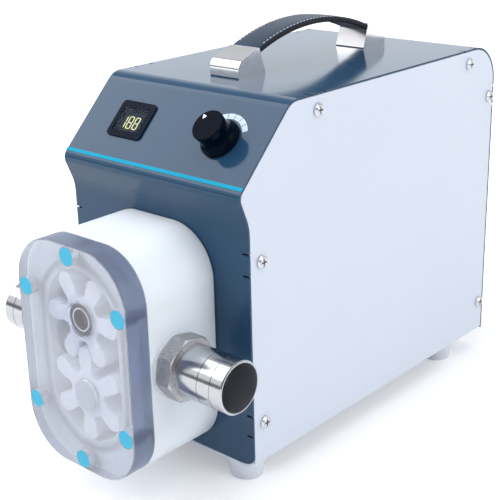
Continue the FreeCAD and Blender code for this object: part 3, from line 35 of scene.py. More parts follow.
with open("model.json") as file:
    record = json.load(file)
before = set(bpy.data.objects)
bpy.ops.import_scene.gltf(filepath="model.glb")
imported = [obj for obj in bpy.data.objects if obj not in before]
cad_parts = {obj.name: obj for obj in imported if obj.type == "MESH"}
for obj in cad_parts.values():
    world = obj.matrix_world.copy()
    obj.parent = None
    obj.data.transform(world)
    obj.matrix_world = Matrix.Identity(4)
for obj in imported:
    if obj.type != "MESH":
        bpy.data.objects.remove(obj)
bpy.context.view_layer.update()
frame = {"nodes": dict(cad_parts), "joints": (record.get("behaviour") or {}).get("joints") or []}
nodes = frame["nodes"]
mm = 0.001
print("stage: frame loaded,", len(nodes), "nodes")


# the photograph's standpoint: a long lens from the right of the front
photoCamera = {
    "place": (0.49007, -0.55881, 0.39017),
    "turn": 42.0525,              # degrees, as are the next two
    "dip": 20.2369,
    "roll": -1.4386,
    "lens": 80.0,
    "sensor": 36.0,
    "clipStart": 0.02,
}


def setCamera(setup):
    turn, dip, roll = (math.radians(setup[k]) for k in ("turn", "dip", "roll"))
    ahead = Vector((-math.sin(turn) * math.cos(dip), math.cos(turn) * math.cos(dip), -math.sin(dip)))
    level = Vector((math.cos(turn), math.sin(turn), 0.0))
    upright = level.cross(ahead)
    right = level * math.cos(roll) + upright * math.sin(roll)
    up = upright * math.cos(roll) - level * math.sin(roll)
    data = bpy.data.cameras.new("photoCamera")
    data.lens = setup["lens"]
    data.sensor_width = setup["sensor"]
    data.clip_start = setup["clipStart"]
    camera = bpy.data.objects.new("photoCamera", data)
    turned = Matrix((right, up, -ahead)).transposed().to_4x4()
    camera.matrix_world = Matrix.Translation(setup["place"]) @ turned
    bpy.context.scene.collection.objects.link(camera)
    bpy.context.scene.camera = camera


setCamera(photoCamera)
print("stage: camera set")


# places that the finishes and pieces share, all read from the frame
def middleOf(name):
    low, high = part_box(name)
    return (low + high) / 2


driveAxis = middleOf("drive_rotor")
idlerAxis = middleOf("idler_pin")
tailAxis = middleOf("hose_tail_right")
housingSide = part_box("pump_housing")[1].x
knobAxis = next(joint["axis"] for joint in frame["joints"] if joint["name"] == "knob_turn")
slopeTilt = math.atan2(-knobAxis[1], knobAxis[2])


def newFinish(name, sockets):
    finish = bpy.data.materials.new(name)
    finish.use_nodes = True
    shader = finish.node_tree.nodes["Principled BSDF"]
    for socket, value in sockets.items():
        if isinstance(value, tuple) and len(value) == 3 and socket.endswith("Color"):
            value = (*value, 1.0)
        shader.inputs[socket].default_value = value
    return finish, finish.node_tree, shader


# a socket takes a number, a colour or the output of another node
def feed(tree, socket, value):
    if isinstance(value, tuple):
        socket.default_value = (*value, 1.0)
    elif isinstance(value, (int, float)):
        socket.default_value = value
    else:
        tree.links.new(value, socket)


def objectPlace(tree, stretch=(1.0, 1.0, 1.0)):
    coords = tree.nodes.new("ShaderNodeTexCoord")
    mapping = tree.nodes.new("ShaderNodeMapping")
    mapping.inputs["Scale"].default_value = stretch
    tree.links.new(coords.outputs["Object"], mapping.inputs["Vector"])
    return mapping.outputs["Vector"]


def axisPart(tree, axis):
    split = tree.nodes.new("ShaderNodeSeparateXYZ")
    tree.links.new(objectPlace(tree), split.inputs["Vector"])
    return split.outputs[axis]


def noiseOf(tree, vector, scale, detail=3.0, rough=0.55, distortion=0.0):
    node = tree.nodes.new("ShaderNodeTexNoise")
    node.inputs["Scale"].default_value = scale
    node.inputs["Detail"].default_value = detail
    node.inputs["Roughness"].default_value = rough
    node.inputs["Distortion"].default_value = distortion
    tree.links.new(vector, node.inputs["Vector"])
    return node.outputs["Fac"]


def cellsOf(tree, vector, scale, feature="F1"):
    node = tree.nodes.new("ShaderNodeTexVoronoi")
    node.feature = feature
    node.inputs["Scale"].default_value = scale
    tree.links.new(vector, node.inputs["Vector"])
    return node.outputs["Distance"]


# fine rings that a lathe leaves round an axis
def latheRings(tree, radius, scale):
    node = tree.nodes.new("ShaderNodeTexNoise")
    node.noise_dimensions = "1D"
    node.inputs["Scale"].default_value = scale
    tree.links.new(radius, node.inputs["W"])
    return node.outputs["Fac"]


# most noise lies between 0.3 and 0.7, so that stretch is spread unless another is given
def spread(tree, value, low, high, fromLow=0.3, fromHigh=0.7):
    node = tree.nodes.new("ShaderNodeMapRange")
    numbers = {"From Min": fromLow, "From Max": fromHigh, "To Min": low, "To Max": high}
    for socket, number in numbers.items():
        node.inputs[socket].default_value = number
    tree.links.new(value, node.inputs["Value"])
    return node.outputs["Result"]


def reckon(tree, operation, *values):
    node = tree.nodes.new("ShaderNodeMath")
    node.operation = operation
    for socket, value in zip(node.inputs, values):
        feed(tree, socket, value)
    return node.outputs["Value"]


def blendColour(tree, factor, first, second):
    node = tree.nodes.new("ShaderNodeMix")
    node.data_type = "RGBA"
    for socket, value in ((node.inputs["Factor"], factor), (node.inputs[6], first), (node.inputs[7], second)):
        feed(tree, socket, value)
    return node.outputs[2]


def blendValue(tree, factor, first, second):
    node = tree.nodes.new("ShaderNodeMix")
    for socket, value in ((node.inputs["Factor"], factor), (node.inputs[2], first), (node.inputs[3], second)):
        feed(tree, socket, value)
    return node.outputs[0]


# masks from 0 to 1: past a place, between two places, and edges, which the moulded finishes show worn lighter
# and the metals show with a painted highlight
def beyond(tree, value, place, soft):
    return spread(tree, value, 0.0, 1.0, place - soft, place + soft)


def within(tree, value, place, soft):
    return spread(tree, value, 1.0, 0.0, place - soft, place + soft)


def between(tree, value, low, high, soft):
    return reckon(tree, "MULTIPLY", beyond(tree, value, low, soft), within(tree, value, high, soft))


def edgeMask(tree, low=0.52, high=0.62):
    geometry = tree.nodes.new("ShaderNodeNewGeometry")
    return spread(tree, geometry.outputs["Pointiness"], 0.0, 1.0, low, high)


# distance from the line that runs through a point along X, Y or Z
def distanceFromAxis(tree, along, point):
    split = tree.nodes.new("ShaderNodeSeparateXYZ")
    tree.links.new(objectPlace(tree), split.inputs["Vector"])
    squares = []
    for axis, middle in zip("XYZ", point):
        if axis != along:
            offset = reckon(tree, "SUBTRACT", split.outputs[axis], middle)
            squares.append(reckon(tree, "MULTIPLY", offset, offset))
    return reckon(tree, "SQRT", reckon(tree, "ADD", *squares))


def paint(tree, shader, colour):
    tree.links.new(colour, shader.inputs["Base Color"])


# roughness between a least value and that much more, following a texture
def roughen(tree, shader, value, least, more):
    tree.links.new(spread(tree, value, least, least + more), shader.inputs["Roughness"])


# layers of (height, strength, depth in metres), the coarsest first
def raiseBump(tree, shader, layers):
    normal = None
    for height, strength, depth in layers:
        node = tree.nodes.new("ShaderNodeBump")
        node.inputs["Strength"].default_value = strength
        node.inputs["Distance"].default_value = depth
        tree.links.new(height, node.inputs["Height"])
        if normal:
            tree.links.new(normal, node.inputs["Normal"])
        normal = node.outputs["Normal"]
    tree.links.new(normal, shader.inputs["Normal"])


def coat(finish, *names):
    for name in names:
        data = nodes[name].data
        data.materials.clear()
        data.materials.append(finish)


def meshObject(name, mesh, smooth=False):
    data = bpy.data.meshes.new(name)
    mesh.to_mesh(data)
    mesh.free()
    if smooth:
        for face in data.polygons:
            face.use_smooth = True
    piece = bpy.data.objects.new(name, data)
    bpy.context.scene.collection.objects.link(piece)
    return piece


# a closed band of faces between two rings of as many points
def joinRings(mesh, first, second):
    for k in range(len(first)):
        n = (k + 1) % len(first)
        mesh.faces.new((first[k], first[n], second[n], second[k]))


# blue-grey gloss sheet of the front, slope, top and rear
sheetCoat = {
    "colour": (0.021, 0.069, 0.138),
    "deepColour": (0.019, 0.064, 0.130),
    "cloudScale": 9.0,
    "shine": 0.32,
    "roughness": 0.09,
    "smudge": 0.04,               # how much rougher a smudge is
    "smudgeScale": 38.0,
    "peel": 0.015,
    "peelScale": 700.0,
    "peelDepth": 0.2 * mm,
}


def blueGreySheet(setup):
    finish, tree, shader = newFinish("blueGreySheet", {"IOR": 1.5, "Specular IOR Level": setup["shine"]})
    place = objectPlace(tree)
    cloud = noiseOf(tree, place, setup["cloudScale"], 4.0)
    smudge = noiseOf(tree, place, setup["smudgeScale"], 5.0, 0.6, 0.4)
    peel = noiseOf(tree, place, setup["peelScale"], 2.0)
    paint(tree, shader, blendColour(tree, cloud, setup["colour"], setup["deepColour"]))
    roughen(tree, shader, smudge, setup["roughness"], setup["smudge"])
    raiseBump(tree, shader, [(peel, setup["peel"], setup["peelDepth"])])
    return finish


coat(blueGreySheet(sheetCoat), "front_top_shell", "rear_panel")


# white powder coat of the side panels and the base
panelCoat = {
    "colour": (0.695, 0.745, 0.850),
    "shade": (0.67, 0.725, 0.835),
    "cloudScale": 6.0,
    "roughness": 0.34,
    "patchy": 0.09,
    "orange": 0.06,
    "orangeScale": 420.0,
    "orangeDepth": 0.3 * mm,
    "grain": 0.10,
    "grainScale": 1900.0,
    "grainDepth": 0.08 * mm,
}


def whitePowderCoat(setup):
    finish, tree, shader = newFinish("whitePowderCoat", {"IOR": 1.5})
    place = objectPlace(tree)
    cloud = noiseOf(tree, place, setup["cloudScale"], 5.0)
    grain = noiseOf(tree, place, setup["grainScale"], 2.0)
    orange = noiseOf(tree, place, setup["orangeScale"], 3.0)
    paint(tree, shader, blendColour(tree, spread(tree, cloud, 0.0, 1.0), setup["colour"], setup["shade"]))
    roughen(tree, shader, orange, setup["roughness"], setup["patchy"])
    raiseBump(tree, shader, [(orange, setup["orange"], setup["orangeDepth"]),
                             (grain, setup["grain"], setup["grainDepth"])])
    return finish


coat(whitePowderCoat(panelCoat), "side_panel_right", "side_panel_left", "base_pan")


# bright chrome of the handle ends and the pan-head screws
chromePlate = {
    "colour": (0.48, 0.475, 0.505),
    # the edges are a painted highlight, lighter than the chrome
    "edge": (0.85, 0.85, 0.87),
    "roughness": 0.06,
    "haze": 0.06,
    "hazeScale": 160.0,
    "streak": 0.10,
    "streakScale": 900.0,
    "streakStretch": (0.03, 1.0, 1.0),
    "streakRelief": 0.05,
    "streakDepth": 0.04 * mm,
}
chromeScrew = {
    **chromePlate,
    "colour": (0.46, 0.46, 0.49),
    "roughness": 0.10,
    "streakStretch": (1.0, 1.0, 1.0),
}


def brightChrome(name, setup):
    finish, tree, shader = newFinish(name, {"Metallic": 1.0})
    streaks = noiseOf(tree, objectPlace(tree, setup["streakStretch"]), setup["streakScale"], 4.0, 0.6)
    haze = noiseOf(tree, objectPlace(tree), setup["hazeScale"], 4.0)
    # edges painted lighter: a painted highlight
    paint(tree, shader, blendColour(tree, edgeMask(tree), setup["colour"], setup["edge"]))
    dull = spread(tree, haze, setup["roughness"], setup["roughness"] + setup["haze"])
    rough = reckon(tree, "ADD", dull, spread(tree, streaks, 0.0, setup["streak"]))
    tree.links.new(rough, shader.inputs["Roughness"])
    raiseBump(tree, shader, [(streaks, setup["streakRelief"], setup["streakDepth"])])
    return finish


coat(brightChrome("chromeHandleEnds", chromePlate), "handle_cap_front", "handle_cap_rear")
coat(brightChrome("chromeScrews", chromeScrew), "side_screws_right", "side_screws_left", "rear_screws",
     "potentiometer_nut", "inlet_pins")


# zinc plate of the screws, brackets and plates that stay out of sight
zincPlate = {
    "colour": (0.60, 0.61, 0.58),
    "stain": (0.46, 0.47, 0.43),
    "stainScale": 60.0,
    "roughness": 0.28,
    "spangle": 0.16,
    "spangleScale": 190.0,
    "relief": 0.08,
    "reliefDepth": 0.2 * mm,
}


def zincPlated(setup):
    finish, tree, shader = newFinish("zincPlated", {"Metallic": 1.0})
    place = objectPlace(tree)
    spangle = cellsOf(tree, place, setup["spangleScale"])
    cloud = noiseOf(tree, place, setup["stainScale"], 4.0)
    paint(tree, shader, blendColour(tree, spread(tree, cloud, 0.0, 1.0), setup["colour"], setup["stain"]))
    dull = spread(tree, spangle, setup["roughness"], setup["roughness"] + setup["spangle"], 0.0, 1.0)
    tree.links.new(dull, shader.inputs["Roughness"])
    raiseBump(tree, shader, [(cloud, setup["relief"], setup["reliefDepth"])])
    return finish


coat(zincPlated(zincPlate), "foot_screws", "base_screws", "handle_screws", "mount_plate", "pump_mount_screws",
     "motor_bracket", "gearbox_screws")


# hose tails: a cast octagon with a pebbled skin and a turned, polished tail
tailSteel = {
    "polished": (0.50, 0.51, 0.53),
    "cast": (0.52, 0.52, 0.535),
    # the hollows of the pebbled skin are painted darker, as painted shade
    "castHollowShade": (0.36, 0.36, 0.375),
    "bore": (0.50, 0.51, 0.54),
    "octagonStart": housingSide + 0.3 * mm,
    "octagonLength": 13.0 * mm,
    "octagonSoft": 0.25 * mm,
    "boreRadius": 15.55 * mm,
    "boreSoft": 0.1 * mm,
    "polishedRough": 0.10,
    "lineRough": 0.07,
    "scuffRough": 0.05,
    "castRough": 0.40,
    "castPatchy": 0.08,
    "boreRough": 0.45,
    "fineLineScale": 2600.0,
    "wideLineScale": 420.0,
    "lines": 0.10,
    "lineDepth": 0.03 * mm,
    "pebbleScale": 760.0,
    "pebbleRange": (0.38, 0.62),  # heights of the pebbles from hollow to proud
    "pitScale": 1500.0,
    "pebbles": 0.5,
    "pebbleDepth": 0.3 * mm,
    "scuffScale": 240.0,
}


def hoseTailSteel(setup):
    finish, tree, shader = newFinish("hoseTailSteel", {"Metallic": 1.0})
    place = objectPlace(tree)
    alongX = reckon(tree, "ABSOLUTE", axisPart(tree, "X"))
    start, end = setup["octagonStart"], setup["octagonStart"] + setup["octagonLength"]
    octagon = between(tree, alongX, start, end, setup["octagonSoft"])
    inside = within(tree, distanceFromAxis(tree, "X", tailAxis), setup["boreRadius"], setup["boreSoft"])
    fineLines = noiseOf(tree, objectPlace(tree, (1.0, 0.0, 0.0)), setup["fineLineScale"], 2.0)
    wideLines = noiseOf(tree, objectPlace(tree, (1.0, 0.0, 0.0)), setup["wideLineScale"], 2.0)
    pebble = noiseOf(tree, place, setup["pebbleScale"], 3.0, 0.6)
    pits = cellsOf(tree, place, setup["pitScale"])
    scuff = noiseOf(tree, place, setup["scuffScale"], 5.0, 0.65)
    # painted shade: darker in the hollows between the pebbles
    proud = spread(tree, pebble, 0.0, 1.0, *setup["pebbleRange"])
    castSkin = blendColour(tree, proud, setup["castHollowShade"], setup["cast"])
    skin = blendColour(tree, octagon, setup["polished"], castSkin)
    paint(tree, shader, blendColour(tree, inside, skin, setup["bore"]))
    lined = spread(tree, fineLines, setup["polishedRough"], setup["polishedRough"] + setup["lineRough"])
    polishedRough = reckon(tree, "ADD", lined, spread(tree, scuff, 0.0, setup["scuffRough"]))
    castRough = spread(tree, pebble, setup["castRough"] - setup["castPatchy"],
                       setup["castRough"] + setup["castPatchy"])
    rough = blendValue(tree, octagon, polishedRough, castRough)
    tree.links.new(blendValue(tree, inside, rough, setup["boreRough"]), shader.inputs["Roughness"])
    turned = reckon(tree, "SUBTRACT", 1.0, octagon)
    lines = reckon(tree, "MULTIPLY", reckon(tree, "ADD", fineLines, wideLines), turned)
    castRelief = reckon(tree, "MULTIPLY", reckon(tree, "ADD", pebble, pits), octagon)
    raiseBump(tree, shader, [(castRelief, setup["pebbles"], setup["pebbleDepth"]),
                             (lines, setup["lines"], setup["lineDepth"])])
    return finish


coat(hoseTailSteel(tailSteel), "hose_tail_right", "hose_tail_left")


# turned stainless steel of the shaft line and the cover screws
turnedSteel = {
    "colour": (0.56, 0.56, 0.58),
    # the edges are a painted highlight, lighter than the steel
    "edge": (0.74, 0.74, 0.76),
    "roughness": 0.20,
    "scuff": 0.12,
    "scuffScale": 320.0,
    "rings": 0.14,
    "ringScale": 3200.0,
    "ringDepth": 0.04 * mm,
}


def turnedStainless(setup):
    finish, tree, shader = newFinish("turnedShaftSteel", {"Metallic": 1.0})
    rings = latheRings(tree, distanceFromAxis(tree, "Y", driveAxis), setup["ringScale"])
    scuff = noiseOf(tree, objectPlace(tree), setup["scuffScale"], 5.0)
    # edges painted lighter: a painted highlight
    paint(tree, shader, blendColour(tree, edgeMask(tree), setup["colour"], setup["edge"]))
    roughen(tree, shader, scuff, setup["roughness"], setup["scuff"])
    raiseBump(tree, shader, [(rings, setup["rings"], setup["ringDepth"])])
    return finish


coat(turnedStainless(turnedSteel), "drive_shaft", "output_shaft", "shaft_bearing", "cover_screws")


# the rotor's bolt from its middle outward, one steel painted in rings of light and shade: painted shade in
# the recess, a painted highlight on the collar, a flange painted dark as a reflection and a painted highlight
# on the rim
rotorBolt = {
    "recess": (0.075, 0.075, 0.095),
    "collarHighlight": (0.62, 0.62, 0.66),
    "flange": (0.012, 0.012, 0.022),
    "rim": (0.40, 0.40, 0.44),
    "recessRadius": 6.6 * mm,
    "collarWidth": 1.0 * mm,
    "rimRadius": 10.4 * mm,
    "soft": 0.2 * mm,
    "metal": 0.3,
    "shine": 0.25,
    "roughness": 0.14,
    "scuff": 0.10,
    "scuffScale": 320.0,
    "rings": 0.14,
    "ringScale": 3200.0,
    "ringDepth": 0.04 * mm,
}


def boltStainless(setup):
    finish, tree, shader = newFinish("boltStainless", {"Metallic": setup["metal"],
                                                       "Specular IOR Level": setup["shine"]})
    radius = distanceFromAxis(tree, "Y", driveAxis)
    recessRadius, soft = setup["recessRadius"], setup["soft"]
    rim = beyond(tree, radius, setup["rimRadius"], soft)
    recess = within(tree, radius, recessRadius, soft)
    collarHighlight = between(tree, radius, recessRadius, recessRadius + setup["collarWidth"], soft)
    # painted light on one steel: painted highlights on the rim and the collar, a painted dark reflection on
    # the flange, painted shade in the recess
    face = blendColour(tree, rim, setup["flange"], setup["rim"])
    face = blendColour(tree, collarHighlight, face, setup["collarHighlight"])
    paint(tree, shader, blendColour(tree, recess, face, setup["recess"]))
    scuff = noiseOf(tree, objectPlace(tree), setup["scuffScale"], 5.0)
    roughen(tree, shader, scuff, setup["roughness"], setup["scuff"])
    rings = latheRings(tree, radius, setup["ringScale"])
    raiseBump(tree, shader, [(rings, setup["rings"], setup["ringDepth"])])
    return finish


coat(boltStainless(rotorBolt), "rotor_bolt")


# white engineering plastic of the pump head
pumpPlastic = {
    "colour": (0.845, 0.905, 0.99),
    "shade": (0.825, 0.885, 0.975),
    "cloudScale": 14.0,
    "milkiness": 0.45,
    "glowDepth": 10.0 * mm,       # how far light creeps through the plastic
    "roughness": 0.36,
    "speckRough": 0.10,
    "speck": 0.03,
    "speckScale": 260.0,
    "speckDepth": 0.3 * mm,
    "millMarks": 0.05,
    "millScale": 1400.0,
    "millStretch": (1.0, 0.04, 1.0),
    "millDepth": 0.06 * mm,
}
rotorPlastic = {
    **pumpPlastic,
    "colour": (0.79, 0.83, 0.93),
    "shade": (0.77, 0.81, 0.91),
    "milkiness": 0.85,
    "millStretch": (1.0, 1.0, 1.0),
}


def whitePumpPlastic(name, setup):
    finish, tree, shader = newFinish(name, {"IOR": 1.46, "Subsurface Weight": setup["milkiness"],
                                            "Subsurface Scale": setup["glowDepth"],
                                            "Subsurface Radius": (1.0, 1.0, 1.0)})
    place = objectPlace(tree)
    cloud = noiseOf(tree, place, setup["cloudScale"], 4.0)
    mill = noiseOf(tree, objectPlace(tree, setup["millStretch"]), setup["millScale"], 3.0)
    speck = noiseOf(tree, place, setup["speckScale"], 4.0)
    paint(tree, shader, blendColour(tree, spread(tree, cloud, 0.0, 1.0), setup["colour"], setup["shade"]))
    roughen(tree, shader, speck, setup["roughness"], setup["speckRough"])
    raiseBump(tree, shader, [(speck, setup["speck"], setup["speckDepth"]),
                             (mill, setup["millMarks"], setup["millDepth"])])
    return finish


coat(whitePumpPlastic("whiteHousingPlastic", pumpPlastic), "pump_housing", "port_washers")
coat(whitePumpPlastic("whiteRotorPlastic", rotorPlastic), "drive_rotor", "idler_rotor", "idler_pin",
     "cover_seal", "board_standoffs")


# clear cover: polished faces, sawn and buffed edges
coverAcrylic = {
    "colour": (0.915, 0.935, 1.0),
    "clearness": 0.81,            # the rest of the light meets a milky haze
    "clearZone": (14.0 * mm, 27.0 * mm),   # the haze thins out towards the rotor's bolt
    "roughness": 0.05,
    "haze": 0.02,
    "hazeScale": 120.0,
    "edgeColour": (0.20, 0.255, 0.41),
    "edgeRough": 0.32,
    "edgeInset": (0.5 * mm, 0.3 * mm),     # how far from the front and back faces the sawn edge starts
    "edgeSoft": 0.2 * mm,
    "sawScale": 900.0,
    "sawStretch": (1.0, 0.05, 1.0),
    "sawMarks": 0.06,
    "sawDepth": 0.05 * mm,
    "pocket": 12.5 * mm,          # the turned pockets over the bolt and the pin are polished too
    "shadow": 0.04,               # how much of the light the plate keeps from what is behind it
}


def clearAcrylic(setup):
    finish, tree, shader = newFinish("clearAcrylic", {"IOR": 1.49, "Transmission Weight": setup["clearness"]})
    haze = noiseOf(tree, objectPlace(tree), setup["hazeScale"], 4.0)
    sawn = noiseOf(tree, objectPlace(tree, setup["sawStretch"]), setup["sawScale"], 3.0)
    front, back = (corner.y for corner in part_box("pump_cover"))
    frontInset, backInset = setup["edgeInset"]
    soft = setup["edgeSoft"]
    edge = between(tree, axisPart(tree, "Y"), front + frontInset, back - backInset, soft)
    fromBolt = distanceFromAxis(tree, "Y", driveAxis)
    for radius in (fromBolt, distanceFromAxis(tree, "Y", idlerAxis)):
        edge = reckon(tree, "MULTIPLY", edge, beyond(tree, radius, setup["pocket"] + soft, soft))
    clearness = spread(tree, fromBolt, 1.0, setup["clearness"], *setup["clearZone"])
    tree.links.new(clearness, shader.inputs["Transmission Weight"])
    polished = spread(tree, haze, setup["roughness"], setup["roughness"] + setup["haze"])
    tree.links.new(blendValue(tree, edge, polished, setup["edgeRough"]), shader.inputs["Roughness"])
    paint(tree, shader, blendColour(tree, edge, setup["colour"], setup["edgeColour"]))
    path = tree.nodes.new("ShaderNodeLightPath")
    lit = spread(tree, path.outputs["Is Shadow Ray"], 1.0, setup["shadow"], 0.0, 1.0)
    tree.links.new(lit, shader.inputs["Alpha"])
    marks = reckon(tree, "MULTIPLY", sawn, edge)
    raiseBump(tree, shader, [(marks, setup["sawMarks"], setup["sawDepth"])])
    return finish


coat(clearAcrylic(coverAcrylic), "pump_cover")


# what all moulded finishes share
moulding = {
    "cloudScale": 90.0,
    "patchy": 0.08,
    "poreDepth": 0.1 * mm,
    "rubbedEdge": (0.54, 0.70),
    "rubbedTimes": 1.6,           # how many times lighter a rubbed edge is, and how much on top
    "rubbedMore": 0.01,
}

# moulded finishes: colour, shade, roughness, grain scale, grain and shine, then the pieces
smallParts = {
    "cyanCaps": ((0.02, 0.38, 0.575), (0.018, 0.36, 0.55), 0.40, 900.0, 0.08, 0.5, ["screw_caps"]),
    "blueStrip": ((0.0, 0.23, 0.36), (0.0, 0.21, 0.335), 0.35, 500.0, 0.03, 0.05, ["accent_strip"]),
    "blackMoulding": ((0.002, 0.006, 0.016), (0.002, 0.005, 0.013), 0.34, 1500.0, 0.12, 0.03,
                      ["display_bezel"]),
    "blackGlossMoulding": ((0.001, 0.004, 0.012), (0.001, 0.003, 0.010), 0.14, 600.0, 0.03, 0.025,
                           ["speed_knob"]),
    "whiteMark": ((0.82, 0.86, 0.90), (0.74, 0.79, 0.85), 0.35, 1200.0, 0.06, 0.5, ["knob_pointer"]),
    "whiteFootRubber": ((0.78, 0.82, 0.88), (0.72, 0.76, 0.83), 0.55, 800.0, 0.20, 0.5, ["feet"]),
    "dialInk": ((0.42, 0.49, 0.57), (0.38, 0.45, 0.53), 0.45, 1200.0, 0.06, 0.1, ["dial_scale"]),
    "displayBacking": ((0.010, 0.024, 0.052), (0.008, 0.020, 0.045), 0.40, 1500.0, 0.12, 0.08,
                       ["display_board"]),
    "inletMoulding": ((0.016, 0.017, 0.019), (0.012, 0.013, 0.015), 0.38, 1500.0, 0.12, 0.5,
                      ["power_inlet", "fuse_drawer", "fan_frame", "fan_rotor"]),
    "rockerMoulding": ((0.028, 0.029, 0.032), (0.022, 0.023, 0.026), 0.20, 700.0, 0.05, 0.5,
                       ["rocker_switch"]),
    "blackRubber": ((0.018, 0.018, 0.019), (0.013, 0.013, 0.014), 0.60, 900.0, 0.20, 0.5, ["shaft_seal"]),
    "motorPaint": ((0.030, 0.031, 0.034), (0.022, 0.023, 0.026), 0.35, 500.0, 0.15, 0.5, ["gearmotor"]),
}


def mouldedPlastic(setup, name, colour, shade, roughness, grainScale, grain, shine):
    finish, tree, shader = newFinish(name, {"IOR": 1.5, "Specular IOR Level": shine})
    place = objectPlace(tree)
    cloud = noiseOf(tree, place, setup["cloudScale"], 4.0)
    pores = noiseOf(tree, place, grainScale, 3.0)
    skin = blendColour(tree, spread(tree, cloud, 0.0, 1.0), colour, shade)
    rubbed = tuple(min(1.0, part * setup["rubbedTimes"] + setup["rubbedMore"]) for part in colour)
    paint(tree, shader, blendColour(tree, edgeMask(tree, *setup["rubbedEdge"]), skin, rubbed))
    roughen(tree, shader, cloud, roughness, setup["patchy"])
    raiseBump(tree, shader, [(pores, grain, setup["poreDepth"])])
    return finish


for finishName, (*look, pieces) in smallParts.items():
    coat(mouldedPlastic(moulding, finishName, *look), *pieces)


# natural aluminium of the coupling, the supply case and the knob's shaft
bareAluminium = {
    "colour": (0.66, 0.67, 0.69),
    "roughness": 0.30,
    "brushRough": 0.14,
    "brushing": 0.12,
    "brushScale": 1100.0,
    "brushStretch": (1.0, 0.02, 1.0),
    "brushDepth": 0.05 * mm,
}


def brushedAluminium(setup):
    finish, tree, shader = newFinish("brushedAluminium", {"Metallic": 1.0, "Base Color": setup["colour"]})
    brushing = noiseOf(tree, objectPlace(tree, setup["brushStretch"]), setup["brushScale"], 3.0)
    roughen(tree, shader, brushing, setup["roughness"], setup["brushRough"])
    raiseBump(tree, shader, [(brushing, setup["brushing"], setup["brushDepth"])])
    return finish


coat(brushedAluminium(bareAluminium), "shaft_coupling", "power_supply", "potentiometer",
     "potentiometer_shaft", "handle_core")


# green board of the speed control
boardLacquer = {
    "colour": (0.012, 0.12, 0.050),
    "track": (0.030, 0.20, 0.085),
    "trackScale": 260.0,
    "trackHalf": (0.02, 0.06),    # where a track ends, as a share of a cell
    "roughness": 0.30,
    "trackRough": 0.45,
    "relief": 0.10,
    "reliefDepth": 0.04 * mm,
}


def circuitBoard(setup):
    finish, tree, shader = newFinish("circuitBoard", {"IOR": 1.5})
    cells = cellsOf(tree, objectPlace(tree), setup["trackScale"], "DISTANCE_TO_EDGE")
    line = spread(tree, cells, 1.0, 0.0, *setup["trackHalf"])
    paint(tree, shader, blendColour(tree, line, setup["colour"], setup["track"]))
    rough = spread(tree, line, setup["roughness"], setup["trackRough"], 0.0, 1.0)
    tree.links.new(rough, shader.inputs["Roughness"])
    raiseBump(tree, shader, [(line, setup["relief"], setup["reliefDepth"])])
    return finish


coat(circuitBoard(boardLacquer), "speed_control_board")


# smoked window over the figures
smokedWindow = {
    "colour": (0.006, 0.016, 0.036),
    "smoke": 0.40,
    "shine": 0.15,
    "roughness": 0.03,
    "hazeRough": 0.03,
    "hazeScale": 300.0,
    "relief": 0.01,
    "reliefDepth": 0.1 * mm,
}


def smokedClear(setup):
    finish, tree, shader = newFinish("smokedWindow", {"IOR": 1.49, "Alpha": setup["smoke"],
                                                      "Specular IOR Level": setup["shine"],
                                                      "Base Color": setup["colour"]})
    haze = noiseOf(tree, objectPlace(tree), setup["hazeScale"], 3.0)
    roughen(tree, shader, haze, setup["roughness"], setup["hazeRough"])
    raiseBump(tree, shader, [(haze, setup["relief"], setup["reliefDepth"])])
    return finish


coat(smokedClear(smokedWindow), "display_window")


# lit segments of the display
litFigures = {
    "colour": (0.30, 0.30, 0.10),
    "glow": (0.80, 0.86, 0.45),
    "dim": 0.82,                  # the darker spots of the glow
    "cloudScale": 1800.0,
    "strength": 3.2,
    "roughness": 0.4,
    "relief": 0.05,
    "reliefDepth": 0.05 * mm,
}


def litSegments(setup):
    finish, tree, shader = newFinish("litSegments", {"Roughness": setup["roughness"],
                                                     "Emission Strength": setup["strength"],
                                                     "Base Color": setup["colour"]})
    cloud = noiseOf(tree, objectPlace(tree), setup["cloudScale"], 2.0)
    dimmed = tuple(part * setup["dim"] for part in setup["glow"])
    tree.links.new(blendColour(tree, cloud, dimmed, setup["glow"]), shader.inputs["Emission Color"])
    raiseBump(tree, shader, [(cloud, setup["relief"], setup["reliefDepth"])])
    return finish


litFinish = litSegments(litFigures)
coat(litFinish, "display_digits")


# glass fuse with a metal cap at each end
fuseGlass = {
    "colour": (0.93, 0.95, 0.95),
    "cap": (0.74, 0.72, 0.66),
    "capStart": 6.0 * mm,         # from the fuse's middle
    "capSoft": 0.05 * mm,
    "roughness": 0.05,
    "hazeRough": 0.15,
    "hazeScale": 500.0,
    "relief": 0.03,
    "reliefDepth": 0.05 * mm,
}


def glassFuse(setup):
    finish, tree, shader = newFinish("glassFuse", {"IOR": 1.5})
    fromMiddle = reckon(tree, "ABSOLUTE", reckon(tree, "SUBTRACT", axisPart(tree, "X"), middleOf("fuse").x))
    cap = beyond(tree, fromMiddle, setup["capStart"], setup["capSoft"])
    paint(tree, shader, blendColour(tree, cap, setup["colour"], setup["cap"]))
    tree.links.new(cap, shader.inputs["Metallic"])
    tree.links.new(reckon(tree, "SUBTRACT", 1.0, cap), shader.inputs["Transmission Weight"])
    haze = noiseOf(tree, objectPlace(tree), setup["hazeScale"], 3.0)
    roughen(tree, shader, haze, setup["roughness"], setup["hazeRough"])
    raiseBump(tree, shader, [(haze, setup["relief"], setup["reliefDepth"])])
    return finish


coat(glassFuse(fuseGlass), "fuse")
print("stage: finishes on the frame's own pieces")


# the reading in thin lit strokes with pointed ends, on the face of the display's module
figures = {
    "width": 4.5 * mm,
    "height": 9.6 * mm,
    "pitch": 5.7 * mm,
    "inset": 0.45 * mm,
    "stroke": 0.62 * mm,
    "gap": 0.16 * mm,
    "thickness": 0.25 * mm,
    "plainThickness": 0.3 * mm,   # of the plain figures that these stand in for
}


